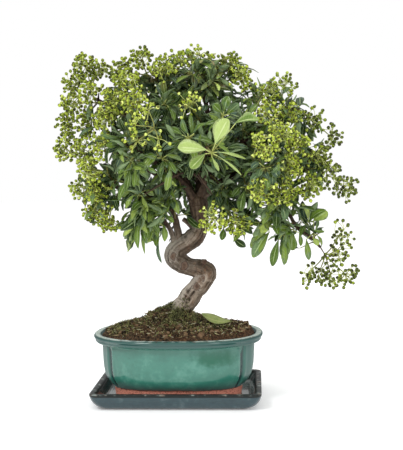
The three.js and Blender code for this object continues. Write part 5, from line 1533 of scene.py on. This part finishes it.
class BonsaiTreeLook(bpy.types.PropertyGroup):
    """Colours and fullness of the tree."""

    bark: colour("Bark", "Bark of the trunk", (90, 76, 63))
    berry: colour("Berry", "Skin of an unripe berry", (148, 166, 46))
    berry_size: FloatProperty(name="Berry size", description="Width of a berry", default=0.00415, min=0.001,
                              unit="LENGTH", precision=5)
    more_berries: amount("Berries", "Berries added to each cluster", 50, 0, 80)
    bunch_twigs: amount("Bunch twigs", "Leafy twigs added to each bunch", 3, 1, 10)
    side_twigs: amount("Side twigs", "Leafy twigs added to each shoot", 7, 1, 10)
    inner_twigs: amount("Inner twigs", "Leafy twigs added to each limb", 25, 1, 40)


class BonsaiStageLook(bpy.types.PropertyGroup):
    """Floor and light."""

    floor: FloatVectorProperty(name="Floor", description="Colour of the floor", default=(0.98, 0.98, 0.98),
                               subtype="COLOR", size=3, min=0, max=1)
    overhead: FloatProperty(name="Overhead", description="Brightness of the room straight above",
                            default=1.25, min=0)
    sides: FloatProperty(name="Sides", description="Brightness of the room at eye level", default=0.3, min=0)
    key: FloatProperty(name="Key light", description="Power of the main soft light", default=15, min=0,
                       unit="POWER")


class BONSAI_OT_saucer(bpy.types.Operator):
    """Make the saucer"""

    bl_idname, bl_label = "bonsai.saucer", "Saucer"

    def execute(self, context):
        make_saucer(context.scene.bonsai_pot)
        return {"FINISHED"}


class BONSAI_OT_pot(bpy.types.Operator):
    """Make the pot"""

    bl_idname, bl_label = "bonsai.pot", "Pot"

    def execute(self, context):
        make_pot(context.scene.bonsai_pot)
        return {"FINISHED"}


class BONSAI_OT_soil(bpy.types.Operator):
    """Make the soil with its crumbs, moss and dry bits"""

    bl_idname, bl_label = "bonsai.soil", "Soil"

    def execute(self, context):
        make_soil(context.scene.bonsai_pot)
        make_ground(context.scene.bonsai_pot)
        return {"FINISHED"}


class BONSAI_OT_wood(bpy.types.Operator):
    """Make the trunk and limbs"""

    bl_idname, bl_label = "bonsai.wood", "Trunk and limbs"

    def execute(self, context):
        make_wood(context.scene.bonsai_tree)
        return {"FINISHED"}


class BONSAI_OT_leaves(bpy.types.Operator):
    """Make the leafy shoots, the leaves inside the crown and the dropped leaf"""

    bl_idname, bl_label = "bonsai.leaves", "Leaves"

    def execute(self, context):
        make_leaves(context.scene.bonsai_tree)
        make_inner_leaves(context.scene.bonsai_tree)
        make_fallen(context.scene.bonsai_tree)
        return {"FINISHED"}


class BONSAI_OT_berries(bpy.types.Operator):
    """Make the bunches of berries"""

    bl_idname, bl_label = "bonsai.berries", "Berries"

    def execute(self, context):
        make_berries(context.scene.bonsai_tree)
        return {"FINISHED"}


class BONSAI_OT_stage(bpy.types.Operator):
    """Make the floor, lights and camera"""

    bl_idname, bl_label = "bonsai.stage", "Stage"

    def execute(self, context):
        make_stage(context.scene.bonsai_stage)
        return {"FINISHED"}


OPERATORS = (BONSAI_OT_saucer, BONSAI_OT_pot, BONSAI_OT_soil, BONSAI_OT_wood, BONSAI_OT_leaves,
             BONSAI_OT_berries, BONSAI_OT_stage)


# where the scene keeps each group of settings
LOOKS = {"bonsai_pot": BonsaiPotLook, "bonsai_tree": BonsaiTreeLook, "bonsai_stage": BonsaiStageLook}


class BONSAI_PT_panel(bpy.types.Panel):
    """The pieces of the bonsai and their settings"""

    bl_idname, bl_label = "BONSAI_PT_panel", "Bonsai"
    bl_space_type, bl_region_type, bl_category = "VIEW_3D", "UI", "Bonsai"

    def draw(self, context):
        for name, group in LOOKS.items():
            for key in group.__annotations__:
                self.layout.prop(getattr(context.scene, name), key)
        for operator in OPERATORS:
            self.layout.operator(operator.bl_idname)


CLASSES = (*LOOKS.values(), *OPERATORS, BONSAI_PT_panel)


def register():
    for cls in CLASSES:
        bpy.utils.register_class(cls)
    for name, group in LOOKS.items():
        setattr(bpy.types.Scene, name, PointerProperty(type=group))


def unregister():
    for name in LOOKS:
        delattr(bpy.types.Scene, name)
    for cls in reversed(CLASSES):
        bpy.utils.unregister_class(cls)


def main():
    register()
    for operator in OPERATORS:
        getattr(bpy.ops.bonsai, operator.bl_idname.split(".")[1])()


if __name__ == "__main__":
    main()
